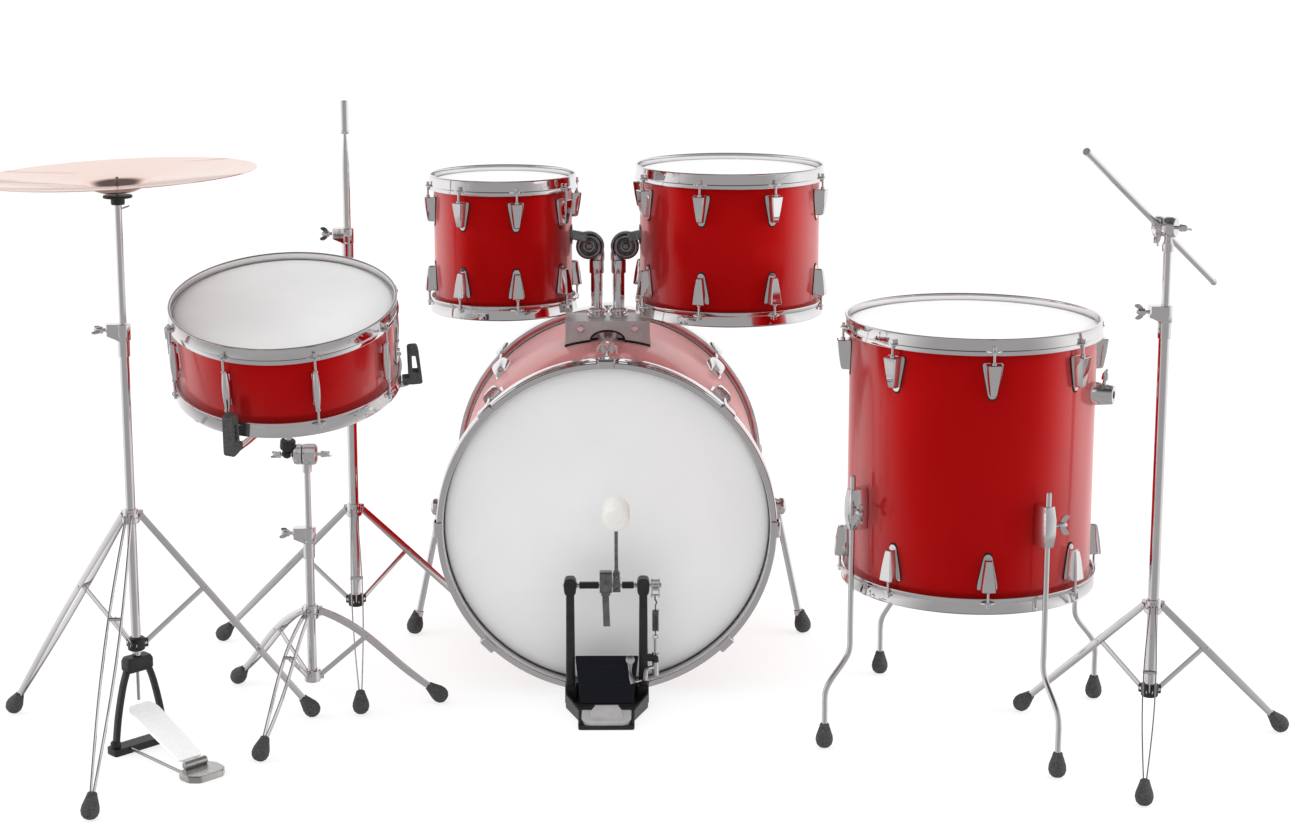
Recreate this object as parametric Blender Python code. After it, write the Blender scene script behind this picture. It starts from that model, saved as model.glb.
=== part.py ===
"""Five-piece acoustic drum kit with its stands and pedals, in metres, +Z up.

Every place on the floor is given from the middle of the bass drum: +X to the player's right,
+Y from the player towards the audience. The empty drum_kit moves that point so that the
origin is the bottom centre of the whole kit.
"""
import math

import bmesh
import bpy
from mathutils import Matrix, Vector

for old in list(bpy.data.objects):
    bpy.data.objects.remove(old, do_unlink=True)

# ---- driving dimensions ----
GAP = 0.0003                       # between pieces that touch
KIT_CENTRE = (0.0575, -0.2731)     # middle of the kit's footprint
FACETS = 24                        # sides of a drum

BASS = {"radius": 0.282, "half": 0.282, "hoop": 0.045, "rim": 0.016, "axis_z": 0.302}
SMALL_TOM = {"radius": 0.1262, "bottom": 0.638, "top": 0.890, "at": (-0.1916, 0.030), "first": 13.5}
LARGE_TOM = {"radius": 0.1643, "bottom": 0.633, "top": 0.907, "at": (0.2240, 0.030), "first": -20}
FLOOR_TOM = {"radius": 0.2024, "bottom": 0.2585, "top": 0.707, "at": (0.608, -0.417), "first": 0.5}
SNARE = {"radius": 0.1770, "height": 0.158, "at": (-0.526, -0.420, 0.664), "lean": 15.5, "first": 22.5}
STRAINER_ANGLE = 180               # on the snare drum, from the player's right
BASKET_ARM_ANGLES = (12, 132, 252)
BASKET_HUB = -0.118                # on the snare drum's axis, from the drum's middle
BASKET_PIVOT_Z = 0.461
HOOP_HEIGHT = 0.027
HOOP_WALL = 0.0085                 # outside of a tom's hoop beyond its shell
SHELL_WALL = 0.007
LUG_LENGTH = 0.052
TUBE_LUG_HALF = 0.027
ROOT = 0.003                       # how deep a fitting is sunk into its shell

POST_X, POST_Y = 0.0200, 0.025     # the tom posts
POST_RADIUS = 0.0115
RATCHET = (0.0341, 0.025, 0.755)   # the tilt pivot's place, on the right
RATCHET_RADIUS = 0.0238
SPUR_DROP = 10.5                   # degrees below level
SPUR_PIVOT = (0.3180, 0.062, 0.250)
SPUR_FOOT_X = 0.371

FLOOR_LEG_ANGLES = (25, 115, 205, 295)
FLOOR_LEG_RING = 0.2255            # legs' distance from the floor tom's axis, at the shell
FLOOR_FOOT_RING = 0.272
FLOOR_LEG_RADIUS = 0.00475
FLOOR_BRACKET_Z = 0.402
CUP_ANGLE, CUP_Z = -24, 0.592      # the floor tom's accessory cup

STANDS = {
    "hihat": {"at": (-0.7708, -0.519), "feet": 0.298, "first": 27.5, "upper": 0.396,
              "lower": 0.179, "clamp": 0.700, "tube": 0.0078, "bore": 0.0063},
    "snare": {"at": (-0.505, -0.370), "feet": 0.220, "first": 15, "upper": 0.185,
              "lower": 0.071, "clamp": 0.320, "tube": 0.0078, "bore": 0.0058},
    "rear": {"at": (-0.4636, -0.0843), "feet": 0.2867, "first": 38, "upper": 0.286,
             "lower": 0.114, "clamp": 0.791, "tube": 0.0090, "bore": 0.0071},
    "boom": {"at": (0.8966, -0.5364), "feet": 0.249, "first": 16, "upper": 0.244,
             "lower": 0.100, "clamp": 0.730, "tube": 0.0090, "bore": 0.0071},
}
BRACE_SHARE = 0.38                 # where a brace meets its leg, from the top
SLIDE_GAP = 0.0004                 # round a tube that slides in another

PEDAL_AXLE = Vector((0, -0.320, 0.214))
PEDAL_HINGE = Vector((0, -0.392, 0.0165))
PEDAL_TOE = Vector((0, -0.333, 0.085))
PEDAL_POST_X = 0.0633
PEDAL_SPRING_X = 0.0844
BEATER_LEAN = 20
BEATER_X = 0.0165
HAT_HEEL = (0.7071, -0.7071)       # from the hi-hat's tube towards its heel plate
PULL_ROD_FOOT, PULL_ROD_TOP = 0.081, 0.952
PULL_ROD_RADIUS = 0.0028
BOOM_TILTER_Z = 0.870
BOOM_AXIS = (0.85, -0.527)         # the tilter's pivot, level
BOOM_RISE = 24                     # of the boom arm, in degrees
BOOM_ARM_RADIUS = 0.0052
CYMBAL_RIM_Z = 0.955
CYMBAL_LEAN = 2

COLOURS = {
    "lacquer": ((0.30, 0.003, 0.004), 0.10, 0.0),
    "chrome": ((0.62, 0.60, 0.60), 0.12, 1.0),
    "head": ((0.80, 0.80, 0.79), 0.55, 0.0),
    "black": ((0.012, 0.012, 0.014), 0.50, 0.0),
    "copper": ((0.72, 0.36, 0.26), 0.20, 1.0),
    "steel": ((0.50, 0.49, 0.48), 0.30, 1.0),
    "navy": ((0.002, 0.003, 0.010), 0.60, 0.0),
    "felt": ((0.78, 0.77, 0.74), 0.95, 0.0),
}
KIT = bpy.data.objects.new("drum_kit", None)
bpy.context.scene.collection.objects.link(KIT)
KIT.location = (-KIT_CENTRE[0], -KIT_CENTRE[1], 0)


# ---- shapes ----
def turned(profile, sides=FACETS, turn=0.0):
    """A closed solid from (radius, height) points round Z; a point at radius 0 is a pole."""
    mesh = bmesh.new()
    rings = []
    for radius, height in profile:
        if radius == 0:
            rings.append([mesh.verts.new((0, 0, height))] * sides)
            continue
        ring = []
        for i in range(sides):
            angle = 2 * math.pi * i / sides + turn
            ring.append(mesh.verts.new((radius * math.cos(angle), radius * math.sin(angle), height)))
        rings.append(ring)
    closed = all(radius > 0 for radius, _ in profile)
    for k in range(len(rings) if closed else len(rings) - 1):
        low, high = rings[k], rings[(k + 1) % len(rings)]
        for i in range(sides):
            j = (i + 1) % sides
            corners = []
            for vert in (low[i], low[j], high[j], high[i]):
                if vert not in corners:
                    corners.append(vert)
            if len(corners) > 2:
                mesh.faces.new(corners)
    bmesh.ops.recalc_face_normals(mesh, faces=mesh.faces)
    return mesh


def prism(outline, low, high):
    """An (x, y) outline raised from z = low to z = high."""
    mesh = bmesh.new()
    base = [mesh.verts.new((x, y, low)) for x, y in outline]
    lid = [mesh.verts.new((x, y, high)) for x, y in outline]
    mesh.faces.new(base[::-1])
    mesh.faces.new(lid)
    for i in range(len(base)):
        j = (i + 1) % len(base)
        mesh.faces.new((base[i], base[j], lid[j], lid[i]))
    bmesh.ops.recalc_face_normals(mesh, faces=mesh.faces)
    return mesh


def box(low, high):
    """A block between two corners."""
    outline = [(low[0], low[1]), (high[0], low[1]), (high[0], high[1]), (low[0], high[1])]
    return prism(outline, low[2], high[2])


def wedge(near, far):
    """A block whose section changes: each end is (x0, x1, half_width, z)."""
    mesh = bmesh.new()
    ends = []
    for x0, x1, half, z in (near, far):
        ends.append([mesh.verts.new(p) for p in
                     ((x0, -half, z), (x1, -half, z), (x1, half, z), (x0, half, z))])
    mesh.faces.new(ends[0])
    mesh.faces.new(ends[1])
    for i in range(4):
        j = (i + 1) % 4
        mesh.faces.new((ends[0][i], ends[0][j], ends[1][j], ends[1][i]))
    bmesh.ops.recalc_face_normals(mesh, faces=mesh.faces)
    return mesh


def facing(direction):
    """A rotation that takes +Z to the direction and keeps +X as level as it can be."""
    z_axis = Vector(direction).normalized()
    up = Vector((0, 0, 1)) if abs(z_axis.z) < 0.99 else Vector((0, 1, 0))
    x_axis = up.cross(z_axis).normalized()
    y_axis = z_axis.cross(x_axis)
    return Matrix((x_axis, y_axis, z_axis)).transposed().to_4x4()


def rod(start, end, radius, sides=8, end_radius=None):
    """A round bar between two points."""
    start, end = Vector(start), Vector(end)
    length = (end - start).length
    tip = radius if end_radius is None else end_radius
    mesh = turned([(0, 0), (radius, 0), (tip, length), (0, length)], sides)
    mesh.transform(Matrix.Translation(start) @ facing(end - start))
    return mesh


def bar(start, end, width, depth):
    """A flat bar between two points, its width level."""
    start, end = Vector(start), Vector(end)
    mesh = box((-width / 2, -depth / 2, 0), (width / 2, depth / 2, (end - start).length))
    mesh.transform(Matrix.Translation(start) @ facing(end - start))
    return mesh


def bent_rod(points, radius, sides=6):
    """A round bar along a path that stays in one vertical plane."""
    points = [Vector(p) for p in points]
    across = (points[-1] - points[0]).cross(Vector((0, 0, 1)))
    across = across.normalized() if across.length > 1e-6 else Vector((1, 0, 0))
    mesh = bmesh.new()
    rings = []
    for k, point in enumerate(points):
        ahead = points[min(k + 1, len(points) - 1)] - points[max(k - 1, 0)]
        outward = across.cross(ahead).normalized()
        ring = []
        for i in range(sides):
            angle = 2 * math.pi * i / sides
            ring.append(mesh.verts.new(point + radius * (math.cos(angle) * across
                                                         + math.sin(angle) * outward)))
        rings.append(ring)
    mesh.faces.new(rings[0][::-1])
    mesh.faces.new(rings[-1])
    for low, high in zip(rings, rings[1:]):
        for i in range(sides):
            j = (i + 1) % sides
            mesh.faces.new((low[i], low[j], high[j], high[i]))
    bmesh.ops.recalc_face_normals(mesh, faces=mesh.faces)
    return mesh


def placed(mesh, at=(0, 0, 0), turn=0.0):
    """The shape turned about Z by degrees and moved."""
    mesh.transform(Matrix.Translation(Vector(at)) @ Matrix.Rotation(math.radians(turn), 4, "Z"))
    return mesh


def together(meshes):
    """Shapes that don't meet, in one mesh."""
    whole = bmesh.new()
    for mesh in meshes:
        data = bpy.data.meshes.new("piece")
        mesh.to_mesh(data)
        whole.from_mesh(data)
        bpy.data.meshes.remove(data)
    return whole


def as_object(mesh, name="helper"):
    data = bpy.data.meshes.new(name)
    mesh.to_mesh(data)
    made = bpy.data.objects.new(name, data)
    bpy.context.scene.collection.objects.link(made)
    return made


def combined(base, operation, others):
    """The base joined with, or cut by, each of the other shapes in turn."""
    for other in others:
        body, helper = as_object(base), as_object(other)
        cut = body.modifiers.new("cut", "BOOLEAN")
        cut.operation = operation
        cut.solver = "EXACT"
        cut.object = helper
        bpy.context.view_layer.update()
        evaluated = body.evaluated_get(bpy.context.evaluated_depsgraph_get())
        base = bmesh.new()
        base.from_mesh(evaluated.to_mesh())
        bmesh.ops.remove_doubles(base, verts=base.verts, dist=1e-6)
        for used in (body, helper):
            bpy.data.objects.remove(used, do_unlink=True)
    return base


def union(base, *others):
    return combined(base, "UNION", others)


def difference(base, *others):
    return combined(base, "DIFFERENCE", others)


# ---- nodes ----
def material(name):
    made = bpy.data.materials.new("mat_" + name)
    made.use_nodes = True
    colour, roughness, metallic = COLOURS[name]
    shader = made.node_tree.nodes["Principled BSDF"]
    shader.inputs["Base Color"].default_value = (*colour, 1)
    shader.inputs["Roughness"].default_value = roughness
    shader.inputs["Metallic"].default_value = metallic
    return made


def node(name, mesh, look, parent=None, local=None):
    """One named part; local places a mesh that was made about its own joint or axis."""
    if local is not None:
        mesh.transform(local)
    made = as_object(mesh, name)
    made.data.materials.append(material(look))
    made.data.shade_smooth()
    made.data.set_sharp_from_angle(angle=math.radians(35))
    made.parent = parent or KIT
    return made


# ---- drums ----
def hoop(radius, rim, height, rods, lug_gap, rod_box):
    """A hoop standing on its shell-side edge at z = 0, with its tension rods hanging below."""
    ledge = height / 2
    ring = turned([(radius + 0.0062, 0), (radius + rim, 0), (radius + rim, height),
                   (radius + 0.0028, height), (radius + 0.0028, ledge), (radius + 0.0062, ledge)],
                  turn=facet_turn(rods[0]))
    inner, outer, half = rod_box
    pins = []
    for angle in rods:
        pins.append(placed(box((inner, -half, -lug_gap + GAP), (outer, half, 0.010)), turn=angle))
    return union(ring, together(pins))


def head(radius, height, hoop_height, turn):
    """A drum head from its crown down to its flesh hoop, in the hoop's own heights."""
    under = hoop_height / 2
    return turned([(0, height), (radius + 0.0023, height), (radius + 0.0023, under - GAP),
                   (radius + 0.0058, under - GAP), (radius + 0.0058, under - 0.0060),
                   (radius + GAP, under - 0.0060), (radius + GAP, height - 0.001),
                   (0, height - 0.001)], turn=turn)


def facet_turn(angle):
    """Turns a drum's polygon so that the middle of a facet lies at the angle."""
    return math.radians(angle) + math.pi / FACETS


def tom_lug(radius, hoop_edge, length):
    """A wedge lug that hangs from hoop_edge, wide end up."""
    return wedge((radius - ROOT, radius + 0.021, 0.0145, hoop_edge),
                 (radius - ROOT, radius + 0.010, 0.0085, hoop_edge - length))


def tube_lug(radius, half_length):
    """A slim upright lug that serves both hoops."""
    return box((radius - ROOT, -0.006, -half_length), (radius + 0.019, 0.006, half_length))


def drum(name, size, half, local, lugs, extra=None, gap=0.012):
    """Shell, two heads and two hoops about Z, then moved by the local matrix."""
    radius = size["radius"]
    angles = [size["first"] - 90 + 45 * k for k in range(8)]
    edge = half - HOOP_HEIGHT                  # the shell-side edge of each hoop
    shell_half = edge + 0.0155 - GAP
    shell = turned([(radius - SHELL_WALL, -shell_half), (radius, -shell_half),
                    (radius, shell_half), (radius - SHELL_WALL, shell_half)],
                   turn=facet_turn(angles[0]))
    pieces = []
    for angle in angles:
        for mesh in lugs(radius, edge - gap):
            pieces.append(placed(mesh, turn=angle))
    shell = union(shell, together(pieces))
    if extra:
        shell = extra(shell)
    node(name + "_shell", shell, "lacquer", local=local)
    flip = Matrix.Rotation(math.pi, 4, "X")
    flat = (radius + HOOP_WALL) * math.cos(math.pi / FACETS)
    rod_box = (flat - 0.0010, radius + 0.0155, 0.003)
    for side, turn, rods in (("top", Matrix(), angles), ("bottom", flip, [-a for a in angles])):
        up = turn @ Matrix.Translation((0, 0, edge))
        crown = head(radius, 0.0165, HOOP_HEIGHT, facet_turn(rods[0]))
        node(f"{name}_{side}_head", crown, "head", local=local @ up)
        ring = hoop(radius, HOOP_WALL, HOOP_HEIGHT, rods, gap, rod_box)
        node(f"{name}_{side}_hoop", ring, "chrome", local=local @ up)


def wedge_pair(radius, start):
    """One lug under the top hoop and its mirror image above the bottom hoop."""
    low = tom_lug(radius, start, LUG_LENGTH)
    low.transform(Matrix.Rotation(math.pi, 4, "X"))
    return [tom_lug(radius, start, LUG_LENGTH), low]


def upright(size):
    """The matrix of a drum that stands upright, and half its height."""
    middle = (size["top"] + size["bottom"]) / 2
    return Matrix.Translation((*size["at"], middle)), (size["top"] - size["bottom"]) / 2


def toms():
    for name, size in (("small_tom", SMALL_TOM), ("large_tom", LARGE_TOM)):
        local, half = upright(size)
        drum(name, size, half, local, wedge_pair)


def leg_blocks(shell):
    """Four leg brackets on the floor tom, each with a hole, and the accessory cup."""
    _, half = upright(FLOOR_TOM)
    middle = FLOOR_BRACKET_Z - (FLOOR_TOM["bottom"] + half)
    radius = FLOOR_TOM["radius"]
    blocks, holes = [], []
    for angle in FLOOR_LEG_ANGLES:
        block = box((radius - ROOT, -0.0115, middle - 0.034), (radius + 0.034, 0.0115, middle + 0.034))
        blocks.append(placed(block, turn=angle))
        hole = rod((FLOOR_LEG_RING, 0, middle - 0.05), (FLOOR_LEG_RING, 0, middle + 0.05),
                   FLOOR_LEG_RADIUS / math.cos(math.pi / 6) + SLIDE_GAP, 6)
        holes.append(placed(hole, turn=angle))
    cup_z = CUP_Z - (FLOOR_TOM["bottom"] + half)
    cup = rod((radius - ROOT, 0, cup_z), (radius + 0.034, 0, cup_z), 0.019, 10, 0.015)
    blocks.append(placed(cup, turn=CUP_ANGLE))
    socket = rod((radius + 0.006, 0, cup_z), (radius + 0.05, 0, cup_z), 0.0052, 8)
    holes.append(placed(socket, turn=CUP_ANGLE))
    return difference(union(shell, together(blocks)), together(holes))


def floor_tom():
    local, half = upright(FLOOR_TOM)
    drum("floor_tom", FLOOR_TOM, half, local, wedge_pair, leg_blocks)
    step = FLOOR_FOOT_RING - FLOOR_LEG_RING
    path = [(FLOOR_LEG_RING, 0, 0.458), (FLOOR_LEG_RING, 0, 0.166),
            (FLOOR_LEG_RING + 0.15 * step, 0, 0.148), (FLOOR_LEG_RING + 0.85 * step, 0, 0.112),
            (FLOOR_FOOT_RING, 0, 0.094), (FLOOR_FOOT_RING, 0, 0.020)]
    for k, angle in enumerate(FLOOR_LEG_ANGLES):
        leg = union(bent_rod(path, FLOOR_LEG_RADIUS), placed(rubber_foot(), (FLOOR_FOOT_RING, 0, 0)))
        placed(leg, (*FLOOR_TOM["at"], 0), angle)
        node(f"floor_leg_{k + 1}", leg, "chrome")


def rubber_foot(scale=1.0):
    """A pear-shaped foot that stands on z = 0."""
    profile = [(0, 0), (0.0095, 0), (0.0145, 0.009), (0.0120, 0.022), (0.0062, 0.036), (0, 0.036)]
    return turned([(r * scale, z * scale) for r, z in profile], 6)


# ---- bass drum ----
# The bass drum is made about Z with +X straight up, then laid on its side with Z towards -Y.
LAID = Matrix(((0, -1, 0, 0), (0, 0, -1, 0), (1, 0, 0, 0), (0, 0, 0, 1)))


def bass_drum():
    radius, half, axis_z = BASS["radius"], BASS["half"], BASS["axis_z"]
    edge = half - BASS["hoop"]
    shell_half = edge + 0.0165
    angles = [45 * k for k in range(8)]
    shell = turned([(radius - 0.009, -shell_half), (radius, -shell_half),
                    (radius, shell_half), (radius - 0.009, shell_half)], 32)
    lugs = []
    for angle in angles:
        for side in (1, -1):
            lug = wedge((radius - ROOT, radius + 0.0197, 0.0160, 0.130 * side),
                        (radius - ROOT, radius + 0.0160, 0.0100, 0.070 * side))
            lugs.append(placed(lug, turn=angle))
    for angle in (90 + SPUR_DROP, 270 - SPUR_DROP):
        block = box((radius - 0.004, -0.016, -0.082), (radius + 0.029, 0.016, -0.042))
        lugs.append(placed(block, turn=angle))
    shell = union(shell, together(lugs))
    lay = Matrix.Translation((0, 0, axis_z)) @ LAID
    node("bass_shell", shell, "lacquer", local=lay)
    flip = Matrix.Rotation(math.pi, 4, "X")
    for side, turn in (("batter", Matrix()), ("front", flip)):
        up = turn @ Matrix.Translation((0, 0, edge))
        node(f"bass_{side}_head", bass_head(radius), "head", local=lay @ up)
        node(f"bass_{side}_hoop", bass_hoop(radius, angles), "chrome", local=lay @ up)


def bass_head(radius):
    return turned([(0, 0.0185), (radius + 0.0023, 0.0185), (radius + 0.0023, 0.0092),
                   (radius + 0.0058, 0.0092), (radius + 0.0058, 0.0030), (radius + GAP, 0.0030),
                   (radius + GAP, 0.0175), (0, 0.0175)], 32)


def bass_hoop(radius, angles):
    """A deep hoop with a claw and a rod at each lug; the claws wrap its front edge."""
    outer, width = radius + BASS["rim"], BASS["hoop"]
    ring = turned([(radius + 0.0062, 0), (outer, 0), (outer, width), (radius + 0.0028, width),
                   (radius + 0.0028, 0.0095), (radius + 0.0062, 0.0095)], 32)
    claws = []
    for angle in angles:
        claw = union(box((outer - 0.003, -0.014, 0.006), (outer + 0.0035, 0.014, width + 0.003)),
                     box((outer - 0.010, -0.014, width - 0.003), (outer + 0.001, 0.014, width + 0.003)),
                     box((outer - 0.0055, -0.003, -0.107 + GAP), (outer - 0.0005, 0.003, 0.012)))
        claws.append(placed(claw, turn=angle))
    return union(ring, together(claws))


def spurs():
    """Folding legs that swing on a pivot outside each bracket."""
    pivot_x, pivot_y, pivot_z = SPUR_PIVOT
    for name, side in (("bass_spur_left", -1), ("bass_spur_right", 1)):
        pivot = Vector((pivot_x * side, pivot_y, pivot_z))
        tip = Vector((SPUR_FOOT_X * side, pivot_y, 0))
        hub = rod((0.3098 * side, pivot_y, pivot_z), (0.3365 * side, pivot_y, pivot_z), 0.0160, 10)
        run = tip - pivot
        leg = rod(pivot + run * 0.02, tip + Vector((0, 0, 0.030)), 0.0062, 8)
        foot = placed(rubber_foot(), tip)
        node(name, union(hub, leg, foot), "chrome")


# ---- tom holder ----
def tom_holder():
    reach = BASS["radius"] + 2 * GAP
    saddle = box((-0.0775, -0.020, 0.560), (0.0775, 0.070, 0.622))
    saddle = difference(saddle, rod((0, -0.05, BASS["axis_z"]), (0, 0.10, BASS["axis_z"]),
                                    reach / math.cos(math.pi / 48), 48))
    arch = rod((0, -0.021, 0.590), (0, 0.071, 0.590), 0.0165, 12)
    collars = [placed(turned([(0, 0.618), (0.0150, 0.618), (0.0150, 0.640), (0, 0.640)], 12),
                      (x, POST_Y, 0)) for x in (-POST_X, POST_X)]
    sockets = [rod((x, POST_Y, 0.600), (x, POST_Y, 0.660), POST_RADIUS + SLIDE_GAP, 12)
               for x in (-POST_X, POST_X)]
    base = union(difference(saddle, arch), together(collars[:1]), together(collars[1:]))
    node("tom_holder_base", difference(base, together(sockets)), "chrome")

    for name, side in (("left", -1), ("right", 1)):
        post = placed(turned([(0, 0.603), (POST_RADIUS, 0.603), (POST_RADIUS, 0.712), (0, 0.712)], 12),
                      (POST_X * side, POST_Y, 0))
        sleeve = placed(turned([(0, 0.705), (0.0140, 0.705), (0.0140, 0.7285), (0, 0.7285)], 12),
                        (POST_X * side, POST_Y, 0))
        x, y, z = RATCHET[0] * side, RATCHET[1], RATCHET[2]
        near, far = sorted((0.008 * side, 0.034 * side))
        neck = box((near, y + 0.0008, 0.722), (far, y + 0.0125, z))
        disc = rod((x, y + 0.0006, z), (x, y + 0.0170, z), RATCHET_RADIUS, 16)
        node(f"tom_post_{name}", union(post, sleeve, neck, disc), "chrome")
    for name, side, size in (("small_tom", -1, SMALL_TOM), ("large_tom", 1, LARGE_TOM)):
        x, y, z = RATCHET[0] * side, RATCHET[1], RATCHET[2]
        disc = rod((x, y - 0.0170, z), (x, y, z), RATCHET_RADIUS, 16)
        wall = abs(size["at"][0]) - size["radius"] - 0.0004
        near, far = sorted((wall * side, (wall - 0.020) * side))
        strut = box((near, y - 0.014, z + 0.004), (far, y - 0.001, z + 0.036))
        lever = bar((x + 0.004 * side, y - 0.0075, z + 0.010),
                    ((wall - 0.006) * side, y - 0.0075, z + 0.022), 0.010, 0.016)
        node(f"{name}_arm", union(disc, strut, lever), "chrome")


# ---- bass pedal ----
def pedal():
    post_x, post_y, axle_z = PEDAL_POST_X, PEDAL_AXLE.y, PEDAL_AXLE.z
    outline = [(-0.071, -0.2880), (-0.071, -0.345), (-0.0465, -0.408), (-0.0465, -0.450),
               (0.0465, -0.450), (0.0465, -0.408), (0.071, -0.345), (0.071, -0.2880)]
    plate = prism(outline, 0, 0.006)
    jaws = [box((x - 0.012, -0.2960, 0.001), (x + 0.012, -0.2823, 0.0125)) for x in (-0.034, 0.034)]
    cheeks = [bar((0.0685 * s, -0.345, 0.0145), (0.0440 * s, -0.408, 0.0110), 0.0045, 0.019) for s in (-1, 1)]
    posts, housings, holes = [], [], []
    for side in (-1, 1):
        posts.append(rod((post_x * side, post_y, 0.003), (post_x * side, post_y, 0.205), 0.0065))
        housings.append(box((post_x * side - 0.0105, post_y - 0.011, axle_z - 0.0155),
                            (post_x * side + 0.0105, post_y + 0.011, axle_z + 0.0135)))
        holes.append(rod((post_x * side - 0.02, post_y, axle_z), (post_x * side + 0.02, post_y, axle_z),
                         0.0046))
    bracket = box((post_x, post_y - 0.006, 0.076), (0.0920, post_y + 0.006, 0.088))
    screw = rod((PEDAL_SPRING_X, post_y, 0.046), (PEDAL_SPRING_X, post_y, 0.1115), 0.0032, 6)
    groups = [together(group) for group in (jaws, cheeks, posts, housings)]
    frame = union(plate, *groups, bracket, screw)
    node("pedal_frame", difference(frame, together(holes)), "black")

    heel = union(box((-0.0410, -0.447, 0.0063), (0.0410, -0.404, 0.0150)),
                 box((-0.0260, -0.438, 0.0140), (0.0260, -0.408, 0.0215)),
                 box((-0.0200, -0.408, 0.0063), (0.0200, -0.3825, 0.0110)),
                 rod((-0.0200, PEDAL_HINGE.y, PEDAL_HINGE.z), (0.0200, PEDAL_HINGE.y, PEDAL_HINGE.z),
                     0.0060))
    node("pedal_heel_plate", heel, "steel")

    along = PEDAL_TOE - PEDAL_HINGE
    board = wedge((-0.0022, 0.0022, 0.044, 0.012), (-0.0022, 0.0022, 0.054, along.length))
    board.transform(Matrix.Translation(PEDAL_HINGE) @ tilted_board(along))
    node("pedal_footboard", board, "navy")

    axle = rod((-0.0760, post_y, axle_z), (0.0930, post_y, axle_z), 0.0040)
    cam = box((-0.0125, post_y - 0.016, axle_z - 0.014), (0.0096, post_y + 0.010, axle_z + 0.0265))
    rocker = box((0.0770, post_y - 0.007, axle_z - 0.023), (0.0920, post_y + 0.007, axle_z + 0.0130))
    strap = box((-0.0070, post_y - 0.0160, axle_z - 0.069), (0.0050, post_y - 0.0120, axle_z - 0.008))
    node("pedal_axle", union(axle, cam, rocker, strap), "steel")

    lean = Matrix.Translation(PEDAL_AXLE) @ Matrix.Rotation(math.radians(BEATER_LEAN), 4, "X")
    clamp = difference(box((0.0100, -0.009, -0.010), (0.0240, 0.009, 0.030)),
                       rod((0, 0, 0), (0.04, 0, 0), (0.0040 + GAP) / math.cos(math.pi / 8)))
    shaft = rod((BEATER_X, 0, 0.026), (BEATER_X, 0, 0.145), 0.0034, 6)
    felt = rod((BEATER_X, -0.022, 0.150), (BEATER_X, 0.022, 0.150), 0.0230, 12)
    node("pedal_beater", union(clamp, shaft, felt), "felt", local=lean)

    spring = rod((PEDAL_SPRING_X, post_y, 0.112), (PEDAL_SPRING_X, post_y, 0.1905), 0.0060)
    node("pedal_spring", spring, "steel")


def tilted_board(along):
    """Takes a board's length, Z, to a direction and its width, Y, to level across."""
    z_axis = Vector(along).normalized()
    y_axis = Vector((0, 0, 1)).cross(z_axis).normalized()
    x_axis = y_axis.cross(z_axis)
    return Matrix((x_axis, y_axis, z_axis)).transposed().to_4x4()


# ---- stands ----
def wing_nut(at, direction):
    """A screw and its wing, pointing a given way from a clamp's middle."""
    at, way = Vector(at), Vector(direction).normalized()
    screw = rod(at, at + way * 0.036, 0.0036, 6)
    wing = box((-0.0030, -0.014, 0.024), (0.0030, 0.014, 0.034))
    wing.transform(Matrix.Translation(at) @ facing(way))
    return union(screw, wing)


def tripod(name, wing=(-1, 0, 0), bottom=None):
    """Three braced legs round a hollow tube with a height clamp at its top, as one solid."""
    size = STANDS[name]
    low = size["lower"] - 0.010 if bottom is None else bottom
    tube = turned([(0, low), (size["tube"], low), (size["tube"], size["clamp"]), (0, size["clamp"])], 10)
    collars = [turned([(0, z - 0.011), (0.0160, z - 0.011), (0.0160, z + 0.011), (0, z + 0.011)], 10)
               for z in (size["upper"], size["lower"])]
    clamp = turned([(0, size["clamp"] - 0.016), (0.0125, size["clamp"] - 0.016),
                    (0.0125, size["clamp"] + 0.016), (0, size["clamp"] + 0.016)], 8)
    legs, braces, feet = [], [], []
    for k in range(3):
        angle = math.radians(size["first"] + 120 * k)
        out = Vector((math.cos(angle), math.sin(angle), 0))
        top = out * 0.012 + Vector((0, 0, size["upper"]))
        foot = out * size["feet"]
        ankle = foot + (top - foot).normalized() * 0.012 + Vector((0, 0, 0.016))
        knee = top + (ankle - top) * BRACE_SHARE
        legs.append(bar(top, ankle, 0.011, 0.007))
        braces.append(bar(knee, out * 0.010 + Vector((0, 0, size["lower"])), 0.009, 0.004))
        feet.append(placed(rubber_foot(), foot, math.degrees(angle)))
    whole = union(tube, collars[0], collars[1], clamp, *legs, *braces, *feet,
                  wing_nut((0, 0, size["clamp"]), wing))
    bore = turned([(0, -0.1), (size["bore"], -0.1), (size["bore"], 2), (0, 2)], 10)
    whole = difference(whole, bore)
    node(f"{name}_tripod", placed(whole, (*size["at"], 0)), "chrome")


def sliding_tube(name, low, high, extra=(), inner=0.0):
    """The tube that slides in a tripod's tube."""
    size = STANDS[name]
    radius = size["bore"] - SLIDE_GAP
    tube = turned([(0, low), (radius, low), (radius, high), (0, high)], 10)
    whole = union(tube, *extra)
    if inner:
        whole = difference(whole, turned([(0, -0.1), (inner, -0.1), (inner, 2), (0, 2)], 8))
    return placed(whole, (*size["at"], 0))


def rear_stand():
    tripod("rear")
    cap = turned([(0, 0.976), (0.0072, 0.976), (0.0072, 1.032), (0, 1.032)], 10)
    node("rear_upper_tube", sliding_tube("rear", 0.540, 1.000, [cap]), "chrome")


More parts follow.
